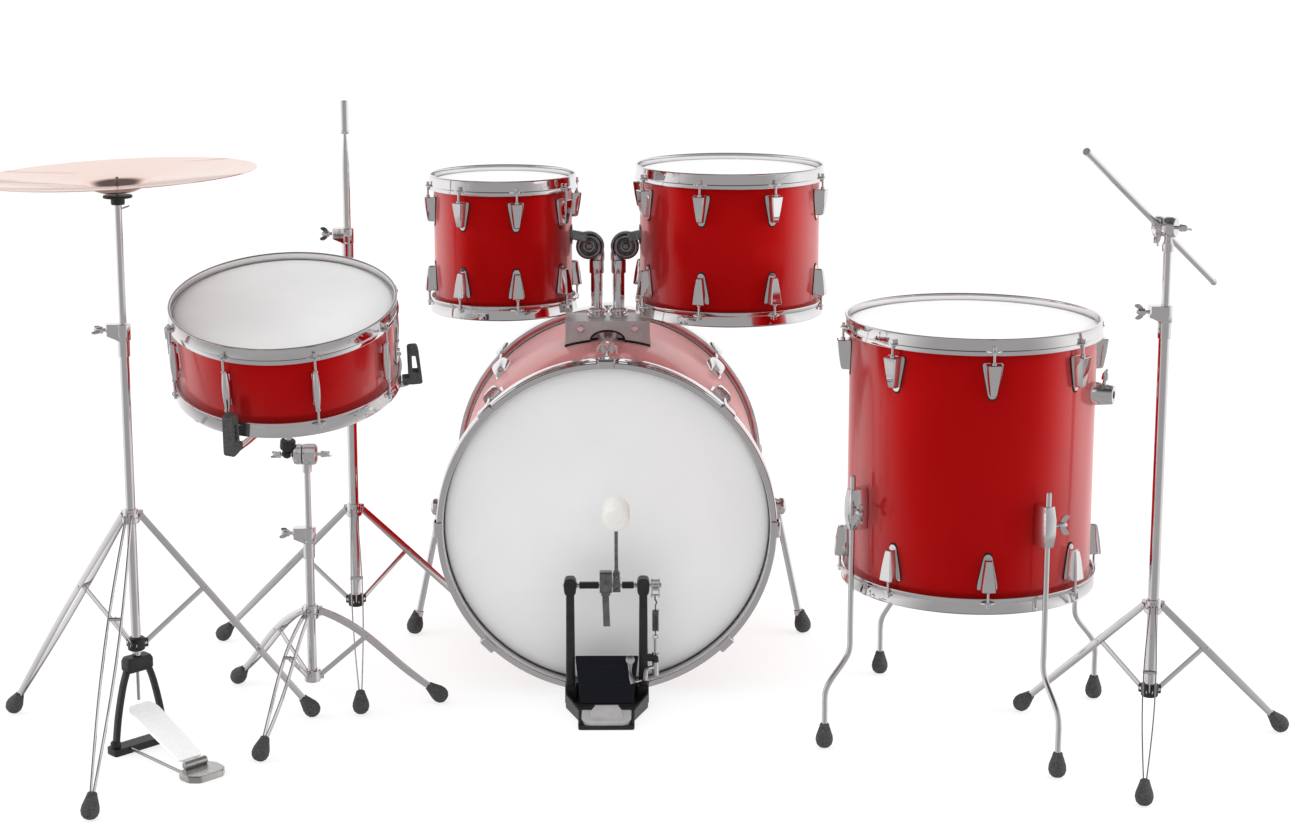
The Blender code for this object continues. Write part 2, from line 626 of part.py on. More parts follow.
def boom_stand():
    tripod("boom")
    at = Vector((*STANDS["boom"]["at"], BOOM_TILTER_Z))
    pivot = Vector((*BOOM_AXIS, 0)).normalized()
    top = Vector((0, 0, BOOM_TILTER_Z))
    fixed_half = rod(top - pivot * 0.0070, top + pivot * 0.0140, 0.0150, 12)
    screw = rod(top + pivot * 0.012, top + pivot * 0.036, 0.0036, 6)
    node("boom_upper_tube", sliding_tube("boom", 0.480, BOOM_TILTER_Z, [fixed_half, screw]), "chrome")

    level = Vector((-pivot.y, pivot.x, 0)) * -1.0
    rise = math.radians(BOOM_RISE)
    along = level * math.cos(rise) + Vector((0, 0, math.sin(rise)))
    middle = at - pivot * 0.0154
    hub = rod(at - pivot * 0.0074, at - pivot * 0.0234, 0.0150, 12)
    hole = rod(middle - along * 0.05, middle + along * 0.05, BOOM_ARM_RADIUS + SLIDE_GAP)
    node("boom_tilter", difference(hub, hole), "chrome")
    arm = rod(middle - along * 0.330, middle + along * 0.372, BOOM_ARM_RADIUS)
    node("boom_arm", arm, "chrome")


# ---- snare drum and its stand ----
def snare_frame():
    """The snare drum's own axes: Z along the drum, leaning towards the player."""
    lean = Matrix.Rotation(math.radians(SNARE["lean"]), 4, "X")
    return Matrix.Translation(SNARE["at"]) @ lean


def snare():
    half = SNARE["height"] / 2
    local = snare_frame()
    radius = SNARE["radius"]

    def fittings(shell):
        strainer = box((radius - ROOT, -0.014, -0.030), (radius + 0.0115, 0.014, 0.026))
        butt = box((radius - ROOT, -0.014, -0.030), (radius + 0.007, 0.014, -0.006))
        return union(shell, placed(strainer, turn=STRAINER_ANGLE),
                     placed(butt, turn=STRAINER_ANGLE + 180))

    drum("snare", SNARE, half, local, lambda r, start: [tube_lug(r, TUBE_LUG_HALF)], fittings,
         gap=half - HOOP_HEIGHT - TUBE_LUG_HALF)
    wires = box((-0.150, -0.020, -0.0725), (0.150, 0.020, -0.0708))
    node("snare_wires", placed(wires, turn=STRAINER_ANGLE), "steel", local=local)
    lever = union(box((radius + 0.0130, -0.007, -0.0205), (radius + 0.0185, 0.007, 0.024)),
                  box((radius + 0.0130, -0.0095, 0.010), (radius + 0.0215, 0.0095, 0.026)))
    node("snare_strainer_lever", placed(lever, turn=STRAINER_ANGLE), "chrome", local=local)


def snare_stand():
    tripod("snare")
    size = STANDS["snare"]
    pivot = Vector((*size["at"], BASKET_PIVOT_Z))
    barrel = rod((-0.006, 0, BASKET_PIVOT_Z), (0.018, 0, BASKET_PIVOT_Z), 0.0155, 12)
    wing = wing_nut((0.015, 0, BASKET_PIVOT_Z), (1, 0, 0))
    tube = sliding_tube("snare", 0.110, 0.452, [barrel, wing])
    node("snare_upper_tube", tube, "chrome")

    # The basket: a half barrel and a stem up to a hub, then three arms that grip the bottom hoop.
    frame = snare_frame()
    stem_top = frame @ Vector((0, 0, BASKET_HUB))
    half_barrel = rod(pivot + Vector((-0.0064, 0, 0)), pivot + Vector((-0.024, 0, 0)), 0.0135, 12)
    stem = rod(pivot + Vector((-0.0200, 0, 0.0)), stem_top, 0.0065)
    hub = turned([(0, BASKET_HUB - 0.012), (0.0165, BASKET_HUB - 0.012), (0.0165, BASKET_HUB + 0.012),
                  (0, BASKET_HUB + 0.012)], 10)
    hub.transform(frame)
    pieces = [stem, hub]
    for angle in BASKET_ARM_ANGLES:
        arm = union(bar((0.008, 0, BASKET_HUB + 0.004), (0.1990, 0, -0.0965), 0.008, 0.006),
                    box((0.1900, -0.0095, -0.1015), (0.2120, 0.0095, -0.0805)),
                    box((0.1985, -0.0095, -0.0900), (0.2120, 0.0095, -0.0330)))
        arm.transform(frame @ Matrix.Rotation(math.radians(angle), 4, "Z"))
        pieces.append(arm)
    node("snare_basket", union(half_barrel, *pieces), "chrome")


# ---- hi-hat ----
def hat_axes():
    """Local axes at the hi-hat's tube: X towards the heel plate, Z up."""
    heel = Vector((*HAT_HEEL, 0))
    across = Vector((0, 0, 1)).cross(heel)
    turn = Matrix((heel, across, Vector((0, 0, 1)))).transposed().to_4x4()
    return Matrix.Translation((*STANDS["hihat"]["at"], 0)) @ turn


def hihat():
    tripod("hihat", bottom=0.1588)
    local = hat_axes()
    block = box((-0.013, -0.024, 0.134), (0.013, 0.024, 0.1585))
    foot_bar = box((-0.014, -0.056, 0), (0.014, 0.056, 0.012))
    sides = [bar((0, 0.017 * s, 0.140), (0, 0.047 * s, 0.006), 0.012, 0.009) for s in (-1, 1)]
    frame = union(block, foot_bar, *sides)
    frame = difference(frame, turned([(0, 0.1), (0.0036, 0.1), (0.0036, 0.2), (0, 0.2)], 8))
    node("hihat_frame", frame, "black", local=local)

    rods = [rod((0.0145, 0.027 * s, 0.0080), (0.162, 0.027 * s, 0.0080), 0.0026, 6) for s in (-1, 1)]
    plate = wedge((0, 0.011, 0.036, 0), (0, 0.011, 0.030, 0.048))
    plate.transform(Matrix.Translation((0.156, 0, 0)) @ Matrix(((0, 0, 1, 0), (0, 1, 0, 0),
                                                               (1, 0, 0, 0), (0, 0, 0, 1))))
    lug = rod((0.158, -0.020, 0.0165), (0.158, 0.020, 0.0165), 0.0070)
    node("hihat_heel_plate", union(plate, lug, *rods), "steel", local=local)

    board = wedge((-0.002, 0.002, 0.022, 0.012), (-0.002, 0.002, 0.026, 0.168))
    run = Vector((-0.160, 0, 0.058))
    board.transform(Matrix.Translation((0.158, 0, 0.0165)) @ tilted_board(run))
    node("hihat_footboard", board, "steel", local=local)

    seat = turned([(0, 0.893), (0.009, 0.893), (0.010, 0.910), (0.023, 0.914), (0.023, 0.921),
                   (0, 0.921)], 12)
    tube = sliding_tube("hihat", 0.500, 0.912, [seat], inner=0.0034)
    node("hihat_upper_tube", tube, "chrome")
    x, y = STANDS["hihat"]["at"]
    pull_rod = rod((x, y, PULL_ROD_FOOT), (x, y, PULL_ROD_TOP), PULL_ROD_RADIUS)
    node("hihat_pull_rod", pull_rod, "steel")

    shape = [(0.0048, -0.0300), (0.030, -0.0290), (0.047, -0.0160), (0.120, -0.0080), (0.219, -0.0010),
             (0.219, 0.0002), (0.120, -0.0068), (0.046, -0.0146), (0.0295, -0.0276), (0.0048, -0.0286)]
    cymbal = turned(shape, FACETS)
    lean = Matrix.Rotation(math.radians(-CYMBAL_LEAN), 4, "Y")
    where = Matrix.Translation((*STANDS["hihat"]["at"], CYMBAL_RIM_Z))
    node("hihat_cymbal", cymbal, "copper", local=where @ lean)


toms()
floor_tom()
bass_drum()
spurs()
tom_holder()
pedal()
rear_stand()
boom_stand()
snare()
snare_stand()
hihat()
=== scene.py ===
"""Looks of the five-piece acoustic drum kit: every CAD piece gets its finished surface here.

Places on the floor are given from the middle of the bass drum, +X to the player's right and
+Y from the player to the audience, in metres. MIDDLE moves them into the frame.
"""
import math

import bmesh
import bpy
from mathutils import Matrix, Vector


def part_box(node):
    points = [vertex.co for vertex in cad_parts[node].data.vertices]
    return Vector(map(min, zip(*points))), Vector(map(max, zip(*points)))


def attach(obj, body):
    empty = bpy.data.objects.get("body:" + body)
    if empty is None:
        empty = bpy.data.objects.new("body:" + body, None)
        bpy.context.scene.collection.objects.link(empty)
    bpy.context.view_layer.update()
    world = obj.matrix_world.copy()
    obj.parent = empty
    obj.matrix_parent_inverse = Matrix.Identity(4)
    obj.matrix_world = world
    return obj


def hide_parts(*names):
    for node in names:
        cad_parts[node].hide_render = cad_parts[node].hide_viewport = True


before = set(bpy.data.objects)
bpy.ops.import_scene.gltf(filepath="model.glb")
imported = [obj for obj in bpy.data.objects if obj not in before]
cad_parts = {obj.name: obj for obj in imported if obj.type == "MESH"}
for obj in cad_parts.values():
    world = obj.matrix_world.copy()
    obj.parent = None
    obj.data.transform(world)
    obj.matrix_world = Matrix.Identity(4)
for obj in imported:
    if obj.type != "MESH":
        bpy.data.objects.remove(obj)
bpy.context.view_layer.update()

shell_low, shell_high = (Vector(corner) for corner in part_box("bass_shell"))
MIDDLE = Matrix.Translation(((shell_low.x + shell_high.x) / 2, (shell_low.y + shell_high.y) / 2, 0))

# ---- driving dimensions, as in the CAD ----
BASS = {"radius": 0.282, "half": 0.282, "hoop": 0.045, "rim": 0.016, "axis_z": 0.302}
DRUMS = {
    "small_tom": {"radius": 0.1262, "bottom": 0.638, "top": 0.890, "at": (-0.1916, 0.030),
                  "first": 13.5, "body": "small_tom", "lug": 1.0},
    "large_tom": {"radius": 0.1643, "bottom": 0.633, "top": 0.907, "at": (0.2240, 0.030),
                  "first": -20, "body": "large_tom", "lug": 1.06},
    "floor_tom": {"radius": 0.2024, "bottom": 0.2585, "top": 0.707, "at": (0.608, -0.417),
                  "first": 0.5, "body": "kit", "lug": 1.12},
}
SNARE = {"radius": 0.1770, "height": 0.158, "at": (-0.526, -0.420, 0.664), "lean": 15.5,
         "first": 22.5, "strainer": 180}
HOOP = 0.027                       # height of a tom's or the snare's hoop
LUG_GAP = 0.012                    # from a hoop's edge to a lug
FLOOR_LEG_ANGLES = (25, 115, 205, 295)
STANDS = {
    "hihat": {"at": (-0.7708, -0.519), "feet": 0.298, "first": 27.5, "upper": 0.396,
              "lower": 0.179, "clamp": 0.700, "tube": 0.0078, "bow": 0.0075, "arch": 0.0, "roll": 72},
    "snare": {"at": (-0.505, -0.370), "feet": 0.220, "first": 15, "upper": 0.185,
              "lower": 0.071, "clamp": 0.320, "tube": 0.0078, "bow": 0.0060, "arch": 0.022, "roll": 65},
    "rear": {"at": (-0.4636, -0.0843), "feet": 0.2867, "first": 38, "upper": 0.286,
             "lower": 0.114, "clamp": 0.791, "tube": 0.0090, "bow": 0.0065, "arch": 0.0, "roll": 30},
    "boom": {"at": (0.8966, -0.5364), "feet": 0.249, "first": 16, "upper": 0.244,
             "lower": 0.100, "clamp": 0.730, "tube": 0.0090, "bow": 0.0065, "arch": 0.0, "roll": 20},
}
BRACE_SHARE = 0.38                 # where a brace meets its leg, from the top
UP = Vector((0, 0, 1))
X_WAY = Vector((1, 0, 0))


# ---- materials ----
def shader(name, colour, roughness, metallic=0.0, coat=0.0):
    """A Principled material; returns it with its nodes, its links and its shader."""
    made = bpy.data.materials.new(name)
    made.use_nodes = True
    nodes, links = made.node_tree.nodes, made.node_tree.links
    main = nodes["Principled BSDF"]
    main.inputs["Base Color"].default_value = (*colour, 1)
    main.inputs["Roughness"].default_value = roughness
    main.inputs["Metallic"].default_value = metallic
    main.inputs["Coat Weight"].default_value = coat
    return made, nodes, links, main


def noise(nodes, links, scale, detail=3.0, stretch=(1, 1, 1)):
    """A noise pattern fixed to the piece, in features per metre."""
    place = nodes.new("ShaderNodeTexCoord")
    mapping = nodes.new("ShaderNodeMapping")
    mapping.inputs["Scale"].default_value = stretch
    links.new(place.outputs["Object"], mapping.inputs["Vector"])
    pattern = nodes.new("ShaderNodeTexNoise")
    pattern.inputs["Scale"].default_value = scale
    pattern.inputs["Detail"].default_value = detail
    links.new(mapping.outputs["Vector"], pattern.inputs["Vector"])
    return pattern.outputs["Fac"]


def ranged(nodes, links, value, low, high, start=0.3, stop=0.7):
    """The pattern's middle range stretched to low .. high."""
    node = nodes.new("ShaderNodeMapRange")
    node.inputs["From Min"].default_value = start
    node.inputs["From Max"].default_value = stop
    node.inputs["To Min"].default_value = low
    node.inputs["To Max"].default_value = high
    links.new(value, node.inputs["Value"])
    return node.outputs["Result"]


def tinted(nodes, links, value, first, second):
    """A colour that runs from the first to the second with the pattern."""
    ramp = nodes.new("ShaderNodeValToRGB")
    ramp.color_ramp.elements[0].position = 0.3
    ramp.color_ramp.elements[1].position = 0.7
    ramp.color_ramp.elements[0].color = (*first, 1)
    ramp.color_ramp.elements[1].color = (*second, 1)
    links.new(value, ramp.inputs["Fac"])
    return ramp.outputs["Color"]


def bumped(nodes, links, main, value, strength, distance):
    bump = nodes.new("ShaderNodeBump")
    bump.inputs["Strength"].default_value = strength
    bump.inputs["Distance"].default_value = distance
    links.new(value, bump.inputs["Height"])
    links.new(bump.outputs["Normal"], main.inputs["Normal"])


def lacquer():
    """Deep red under clear gloss, with the pale bloom that the wrap shows at shallow angles."""
    made, nodes, links, main = shader("red_lacquer", (0.42, 0.001, 0.001), 0.30, 0.5, coat=1.0)
    main.inputs["Specular IOR Level"].default_value = 0.0
    main.inputs["Coat Roughness"].default_value = 0.12
    main.inputs["Coat IOR"].default_value = 2.0
    main.inputs["Sheen Weight"].default_value = 1.0
    main.inputs["Sheen Roughness"].default_value = 0.36
    main.inputs["Sheen Tint"].default_value = (1.0, 0.66, 0.66, 1)
    angle = nodes.new("ShaderNodeLayerWeight")
    angle.inputs["Blend"].default_value = 0.5
    clear = nodes.new("ShaderNodeValToRGB")
    clear.color_ramp.interpolation = "EASE"
    clear.color_ramp.elements[0].position, clear.color_ramp.elements[1].position = 0.12, 1.0
    for place in (0.55, 0.75):
        clear.color_ramp.elements.new(place)
    for element, weight in zip(clear.color_ramp.elements, (0.02, 0.8, 0.4, 0.25)):
        element.color = (weight, weight, weight, 1)
    links.new(angle.outputs["Facing"], clear.inputs["Fac"])
    links.new(clear.outputs["Color"], main.inputs["Coat Weight"])
    cloud = noise(nodes, links, 9.0, 4.0)
    links.new(tinted(nodes, links, cloud, (0.400, 0.0006, 0.0010), (0.436, 0.0010, 0.0016)),
              main.inputs["Base Color"])
    bumped(nodes, links, main, noise(nodes, links, 160.0, 1.0), 0.03, 0.0004)
    return made


def chrome():
    """Bright plating, barely warm, with faint wiping marks in its gloss."""
    made, nodes, links, main = shader("chrome", (0.80, 0.78, 0.78), 0.06, 1.0)
    smear = noise(nodes, links, 30.0, 4.0, (1, 1, 0.3))
    links.new(ranged(nodes, links, smear, 0.035, 0.085), main.inputs["Roughness"])
    links.new(tinted(nodes, links, noise(nodes, links, 12.0), (0.80, 0.775, 0.78), (0.84, 0.815, 0.82)),
              main.inputs["Base Color"])
    return made


def satin_steel():
    """Bare steel with a drawn grain."""
    made, nodes, links, main = shader("satin_steel", (0.55, 0.54, 0.53), 0.28, 1.0)
    grain = noise(nodes, links, 220.0, 3.0, (1, 1, 0.08))
    links.new(ranged(nodes, links, grain, 0.20, 0.34), main.inputs["Roughness"])
    bumped(nodes, links, main, grain, 0.08, 0.0002)
    return made


def cast_alloy():
    """Pale cast metal with a soft grain."""
    made, nodes, links, main = shader("cast_alloy", (0.50, 0.49, 0.49), 0.42, 0.45)
    grain = noise(nodes, links, 260.0, 4.0)
    links.new(ranged(nodes, links, grain, 0.36, 0.50), main.inputs["Roughness"])
    links.new(tinted(nodes, links, noise(nodes, links, 40.0), (0.46, 0.45, 0.45), (0.55, 0.54, 0.54)),
              main.inputs["Base Color"])
    bumped(nodes, links, main, grain, 0.10, 0.0003)
    return made


def chrome_painted_dark():
    """Dark polished steel for the pedal's small parts and the tom brackets; its darkness is painted reflection, in
    place of the dark surroundings that their chrome mirrors.
    """
    # Painted reflection: a dark base colour instead of mirrored dark surroundings.
    made, nodes, links, main = shader("chrome_painted_dark", (0.24, 0.235, 0.24), 0.16, 1.0)
    smear = noise(nodes, links, 90.0, 3.0)
    links.new(ranged(nodes, links, smear, 0.10, 0.24), main.inputs["Roughness"])
    links.new(tinted(nodes, links, smear, (0.17, 0.165, 0.17), (0.34, 0.33, 0.335)), main.inputs["Base Color"])
    return made


def pale_tread():
    """Nearly white anodised footboard."""
    made, nodes, links, main = shader("pale_tread", (0.86, 0.86, 0.86), 0.55)
    grain = noise(nodes, links, 300.0, 3.0)
    links.new(tinted(nodes, links, grain, (0.84, 0.84, 0.84), (0.89, 0.89, 0.89)), main.inputs["Base Color"])
    bumped(nodes, links, main, grain, 0.06, 0.0002)
    return made


def coated_head(name, low, high):
    """White film with a fine sprayed coating, a little greyer in patches."""
    made, nodes, links, main = shader(name, (high, high, high), 0.62)
    cloud = noise(nodes, links, 6.0, 3.0)
    links.new(tinted(nodes, links, cloud, (low, low, low + 0.003), (high, high, high)), main.inputs["Base Color"])
    bumped(nodes, links, main, noise(nodes, links, 900.0, 2.0), 0.25, 0.0003)
    return made


def rubber():
    """Dark grey rubber, mottled and matt."""
    made, nodes, links, main = shader("rubber", (0.045, 0.045, 0.046), 0.75)
    speckle = noise(nodes, links, 420.0, 4.0)
    links.new(tinted(nodes, links, speckle, (0.022, 0.022, 0.023), (0.075, 0.074, 0.074)),
              main.inputs["Base Color"])
    bumped(nodes, links, main, speckle, 0.35, 0.0006)
    return made


def black_enamel():
    """Black stove enamel on cast parts."""
    made, nodes, links, main = shader("black_enamel", (0.010, 0.010, 0.012), 0.42)
    grit = noise(nodes, links, 500.0, 3.0)
    links.new(ranged(nodes, links, grit, 0.34, 0.52), main.inputs["Roughness"])
    links.new(tinted(nodes, links, noise(nodes, links, 60.0), (0.007, 0.007, 0.009), (0.016, 0.016, 0.018)),
              main.inputs["Base Color"])
    bumped(nodes, links, main, grit, 0.12, 0.0003)
    return made


def gasket():
    """Thin black seals under the fittings."""
    made, nodes, links, main = shader("gasket", (0.006, 0.006, 0.006), 0.65)
    bumped(nodes, links, main, noise(nodes, links, 600.0), 0.1, 0.0002)
    return made


def navy_board():
    """Nearly black, blue-tinged grip on the pedal's footboard."""
    made, nodes, links, main = shader("navy_board", (0.0012, 0.0022, 0.0070), 0.62)
    grit = noise(nodes, links, 380.0, 3.0)
    links.new(tinted(nodes, links, grit, (0.0008, 0.0016, 0.0050), (0.0018, 0.0032, 0.0100)),
              main.inputs["Base Color"])
    bumped(nodes, links, main, grit, 0.3, 0.0004)
    return made


def copper():
    """Pale rose-copper, lathed in fine rings round its own centre, its colour run through with broad dark and pale
    streaks of painted reflection.
    """
    made, nodes, links, main = shader("rose_copper", (0.74, 0.40, 0.30), 0.14, 1.0)
    low, high = (Vector(corner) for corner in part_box("hihat_cymbal"))
    centre = (low + high) / 2
    place = nodes.new("ShaderNodeTexCoord")
    mapping = nodes.new("ShaderNodeMapping")
    mapping.inputs["Location"].default_value = (-centre.x, -centre.y, 0)
    mapping.inputs["Scale"].default_value = (1, 1, 0)
    links.new(place.outputs["Object"], mapping.inputs["Vector"])
    rings = nodes.new("ShaderNodeTexWave")
    rings.wave_type = "RINGS"
    rings.rings_direction = "Z"
    rings.inputs["Scale"].default_value = 130.0
    rings.inputs["Distortion"].default_value = 0.6
    links.new(mapping.outputs["Vector"], rings.inputs["Vector"])
    links.new(ranged(nodes, links, rings.outputs["Fac"], 0.11, 0.22, 0, 1), main.inputs["Roughness"])
    # Painted reflection: broad stretched streaks in the base colour, from dark copper to pale, stand for mirrored
    # surroundings.
    painted_reflection_streaks = ranged(nodes, links, noise(nodes, links, 6.0, 4.0, (0.35, 1.6, 0.2)), 0.0, 1.0, 0.36, 0.56)
    links.new(tinted(nodes, links, painted_reflection_streaks, (0.46, 0.20, 0.14), (0.92, 0.66, 0.57)), main.inputs["Base Color"])
    bumped(nodes, links, main, rings.outputs["Fac"], 0.10, 0.0002)
    return made


def felt():
    """White beater felt, fuzzy and matt."""
    made, nodes, links, main = shader("white_felt", (0.72, 0.71, 0.68), 0.95)
    fuzz = noise(nodes, links, 700.0, 5.0)
    links.new(tinted(nodes, links, fuzz, (0.62, 0.61, 0.58), (0.80, 0.79, 0.76)),
              main.inputs["Base Color"])
    bumped(nodes, links, main, fuzz, 0.6, 0.001)
    return made


LOOKS = {"lacquer": lacquer(), "chrome": chrome(), "steel": satin_steel(), "alloy": cast_alloy(),
         "chrome_painted_dark": chrome_painted_dark(), "tread": pale_tread(), "head": coated_head("coated_head", 0.755, 0.795),
         # The snare's head film is a darker copy of the white head film: painted shade for its tilted top, which takes
         # less light.
         "snare_head_painted_shade": coated_head("snare_head_painted_shade", 0.585, 0.660),
         "rubber": rubber(), "black": black_enamel(), "gasket": gasket(), "navy": navy_board(),
         "copper": copper(), "felt": felt()}
SLOTS = {name: name for name in ("lacquer", "chrome", "steel", "head", "black", "navy", "copper", "felt")}
SLOTS["rubber"] = SLOTS["gasket"] = "black"
SLOTS["snare_head_painted_shade"] = "head"
SLOTS["alloy"] = SLOTS["chrome_painted_dark"] = SLOTS["tread"] = "steel"


# ---- shapes ----
def loft(rings, closed=False):
    """Faces between rings of equal length; an open run gets flat ends."""
    mesh = bmesh.new()
    made = [[mesh.verts.new(point) for point in ring] for ring in rings]
    count = len(made[0])
    following = made[1:] + made[:1] if closed else made[1:]
    for low, high in zip(made, following):
        for i in range(count):
            j = (i + 1) % count
            mesh.faces.new((low[i], low[j], high[j], high[i]))
    if not closed:
        mesh.faces.new(made[0][::-1])
        mesh.faces.new(made[-1])
    bmesh.ops.recalc_face_normals(mesh, faces=mesh.faces)
    return mesh


def rounded(points, radius, closed=True, steps=3):
    """An outline whose corners are turned into short curves."""
    points = [Vector(p) for p in points]
    out = []
    for i, corner in enumerate(points):
        if not closed and i in (0, len(points) - 1):
            out.append(corner)
            continue
        before = points[i - 1] - corner
        after = points[(i + 1) % len(points)] - corner
        cut = min(radius, before.length * 0.45, after.length * 0.45)
        start, end = corner + before.normalized() * cut, corner + after.normalized() * cut
        for k in range(steps + 1):
            t = k / steps
            out.append((1 - t) ** 2 * start + 2 * t * (1 - t) * corner + t * t * end)
    return out


def lathe(profile, sides=48, ring=False, soft=0.0):
    """A turned solid from (radius, height) points; ring closes the profile on itself."""
    if soft:
        profile = rounded(profile, soft, closed=ring, steps=2)
    rings = []
    for radius, height in profile:
        rings.append([Vector((radius * math.cos(a), radius * math.sin(a), height))
                      for a in (2 * math.pi * i / sides for i in range(sides))])
    return loft(rings, closed=ring)


def circle(radius, sides=16):
    return [(radius * math.cos(2 * math.pi * i / sides), radius * math.sin(2 * math.pi * i / sides))
            for i in range(sides)]


def rectangle(width, depth, soft=0.0):
    corners = [(-width / 2, -depth / 2), (width / 2, -depth / 2), (width / 2, depth / 2), (-width / 2, depth / 2)]
    return rounded(corners, soft, steps=2) if soft else corners


def sweep(path, section, normal=None, sizes=None):
    """A section carried along a path; its second axis follows normal, or is kept level."""
    path = [Vector(p) for p in path]
    if normal is None:
        chord = path[-1] - path[0]
        normal = chord.cross(UP) if chord.cross(UP).length > 1e-4 * chord.length else Vector((0, 1, 0))
    normal = Vector(normal).normalized()
    rings = []
    for k, point in enumerate(path):
        ahead = (path[min(k + 1, len(path) - 1)] - path[max(k - 1, 0)]).normalized()
        across = normal.cross(ahead).normalized()
        over = ahead.cross(across)
        size = sizes[k] if sizes else 1.0
        rings.append([point + size * (u * across + v * over) for u, v in section])
    return loft(rings)


def flowing(points, steps=6):
    """A smooth curve through the points."""
    points = [Vector(p) for p in points]
    padded = [2 * points[0] - points[1]] + points + [2 * points[-1] - points[-2]]
    out = []
    for k in range(1, len(padded) - 2):
        p0, p1, p2, p3 = padded[k - 1:k + 3]
        for i in range(steps):
            t = i / steps
            out.append(0.5 * (2 * p1 + (p2 - p0) * t + (2 * p0 - 5 * p1 + 4 * p2 - p3) * t ** 2
                              + (3 * p1 - p0 - 3 * p2 + p3) * t ** 3))
    out.append(points[-1])
    return out


def rod(start, end, radius, sides=16, soft=None):
    """A round bar with softened ends."""
    start, end = Vector(start), Vector(end)
    soft = min(radius * 0.25, 0.0008) if soft is None else soft
    length = (end - start).length
    profile = [(radius - soft, 0), (radius, soft), (radius, length - soft), (radius - soft, length)]
    return at(lathe(profile, sides), Matrix.Translation(start) @ facing(end - start))


def prism(outline, low, high):
    """An (x, y) outline raised from z = low to z = high."""
    return loft([[Vector((p[0], p[1], z)) for p in outline] for z in (low, high)])


def block(low, high):
    return prism([(low[0], low[1]), (high[0], low[1]), (high[0], high[1]), (low[0], high[1])], low[2], high[2])


def ball(centre, radius, sides=20, squash=1.0):
    """A closed knob, flattened along Z by squash."""
    profile = [(radius * math.cos(a), radius * squash * math.sin(a))
               for a in (math.radians(-80 + 20 * k) for k in range(9))]
    return at(lathe(profile, sides), Matrix.Translation(Vector(centre)))


def facing(direction):
    """Takes +Z to the direction and keeps +X as level as it can be."""
    z_axis = Vector(direction).normalized()
    up = UP if abs(z_axis.z) < 0.99 else Vector((0, 1, 0))
    x_axis = up.cross(z_axis).normalized()
    return Matrix((x_axis, z_axis.cross(x_axis), z_axis)).transposed().to_4x4()


def at(mesh, matrix):
    mesh.transform(matrix)
    return mesh


def turned(mesh, degrees, place=(0, 0, 0)):
    """The shape turned about Z and moved."""
    return at(mesh, Matrix.Translation(Vector(place)) @ Matrix.Rotation(math.radians(degrees), 4, "Z"))


def piece(name, look, body, meshes, stands_for=(), bevel=0.0, local=None, sharp=40):
    """One visible piece of one finish, riding on its body and standing for its CAD nodes."""
    whole = bmesh.new()
    for mesh in meshes:
        data = bpy.data.meshes.new("shape")
        mesh.to_mesh(data)
        mesh.free()
        whole.from_mesh(data)
        bpy.data.meshes.remove(data)
    whole.transform(MIDDLE @ (local or Matrix()))
    data = bpy.data.meshes.new(name)
    whole.to_mesh(data)
    whole.free()
    made = bpy.data.objects.new(name, data)
    bpy.context.scene.collection.objects.link(made)
    data.materials.append(LOOKS[look])
    data.shade_smooth()
    if bevel:
        edges = made.modifiers.new("edges", "BEVEL")
        edges.width = bevel
        edges.segments = 2
        edges.limit_method = "ANGLE"
        edges.angle_limit = math.radians(sharp)
        edges.harden_normals = True
    else:
        data.set_sharp_from_angle(angle=math.radians(sharp))
    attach(made, body)
    if stands_for:
        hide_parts(*stands_for)
    return made


# ---- drums ----
def hoop_ring(radius):
    """A pressed hoop's section: rolled lip, tall wall, and a skirt that flares over the flesh hoop."""
    profile = [(radius + 0.0062, 0.0004), (radius + 0.0102, 0.0), (radius + 0.0106, 0.0010),
               (radius + 0.0094, 0.0066), (radius + 0.0080, 0.0078), (radius + 0.0080, 0.0250),
               (radius + 0.0089, 0.0262), (radius + 0.0080, 0.0270), (radius + 0.0052, 0.0270),
               (radius + 0.0040, 0.0258), (radius + 0.0034, 0.0150), (radius + 0.0062, 0.0138)]
    return lathe(profile, 144, ring=True, soft=0.0005)


def tension_rod(radius, reach, angle):
    """An ear on the hoop, the rod through it down to its lug, its washer and its square head."""
    where = radius + 0.0122
    ear = rounded([(radius + 0.0075, -0.0135), (radius + 0.0130, -0.0085), (radius + 0.0172, -0.0045),
                   (radius + 0.0172, 0.0045), (radius + 0.0130, 0.0085), (radius + 0.0075, 0.0135)],
                  0.0025, steps=2)
    shapes = [prism(ear, 0.0062, 0.0080),
              rod((where, 0, -reach), (where, 0, 0.0120), 0.0021, 10),
              lathe_at((where, 0, 0.0080), [(0.0042, 0), (0.0044, 0.0004), (0.0044, 0.0010), (0.0040, 0.0014)]),
              at(prism(rounded(rectangle(0.0052, 0.0052), 0.0006, steps=1), 0.0092, 0.0150),
                 Matrix.Translation((where, 0, 0)))]
    return [turned(shape, angle) for shape in shapes]


def lathe_at(place, profile, sides=14):
    return at(lathe(profile, sides), Matrix.Translation(Vector(place)))


def film(radius):
    """A drum head: flat film, a soft collar, and the flesh hoop that the hoop hides."""
    rim = radius + 0.0023
    return lathe([(0.020, 0.0165), (radius - 0.014, 0.0165), (radius - 0.006, 0.0162), (radius - 0.001, 0.0152),
                  (radius + 0.0014, 0.0137), (rim, 0.0118), (rim, 0.0130), (radius + 0.0056, 0.0130),
                  (radius + 0.0056, 0.0078), (radius + 0.0006, 0.0078), (radius + 0.0006, 0.0120),
                  (radius - 0.004, 0.0146), (0.020, 0.0155)], 144)


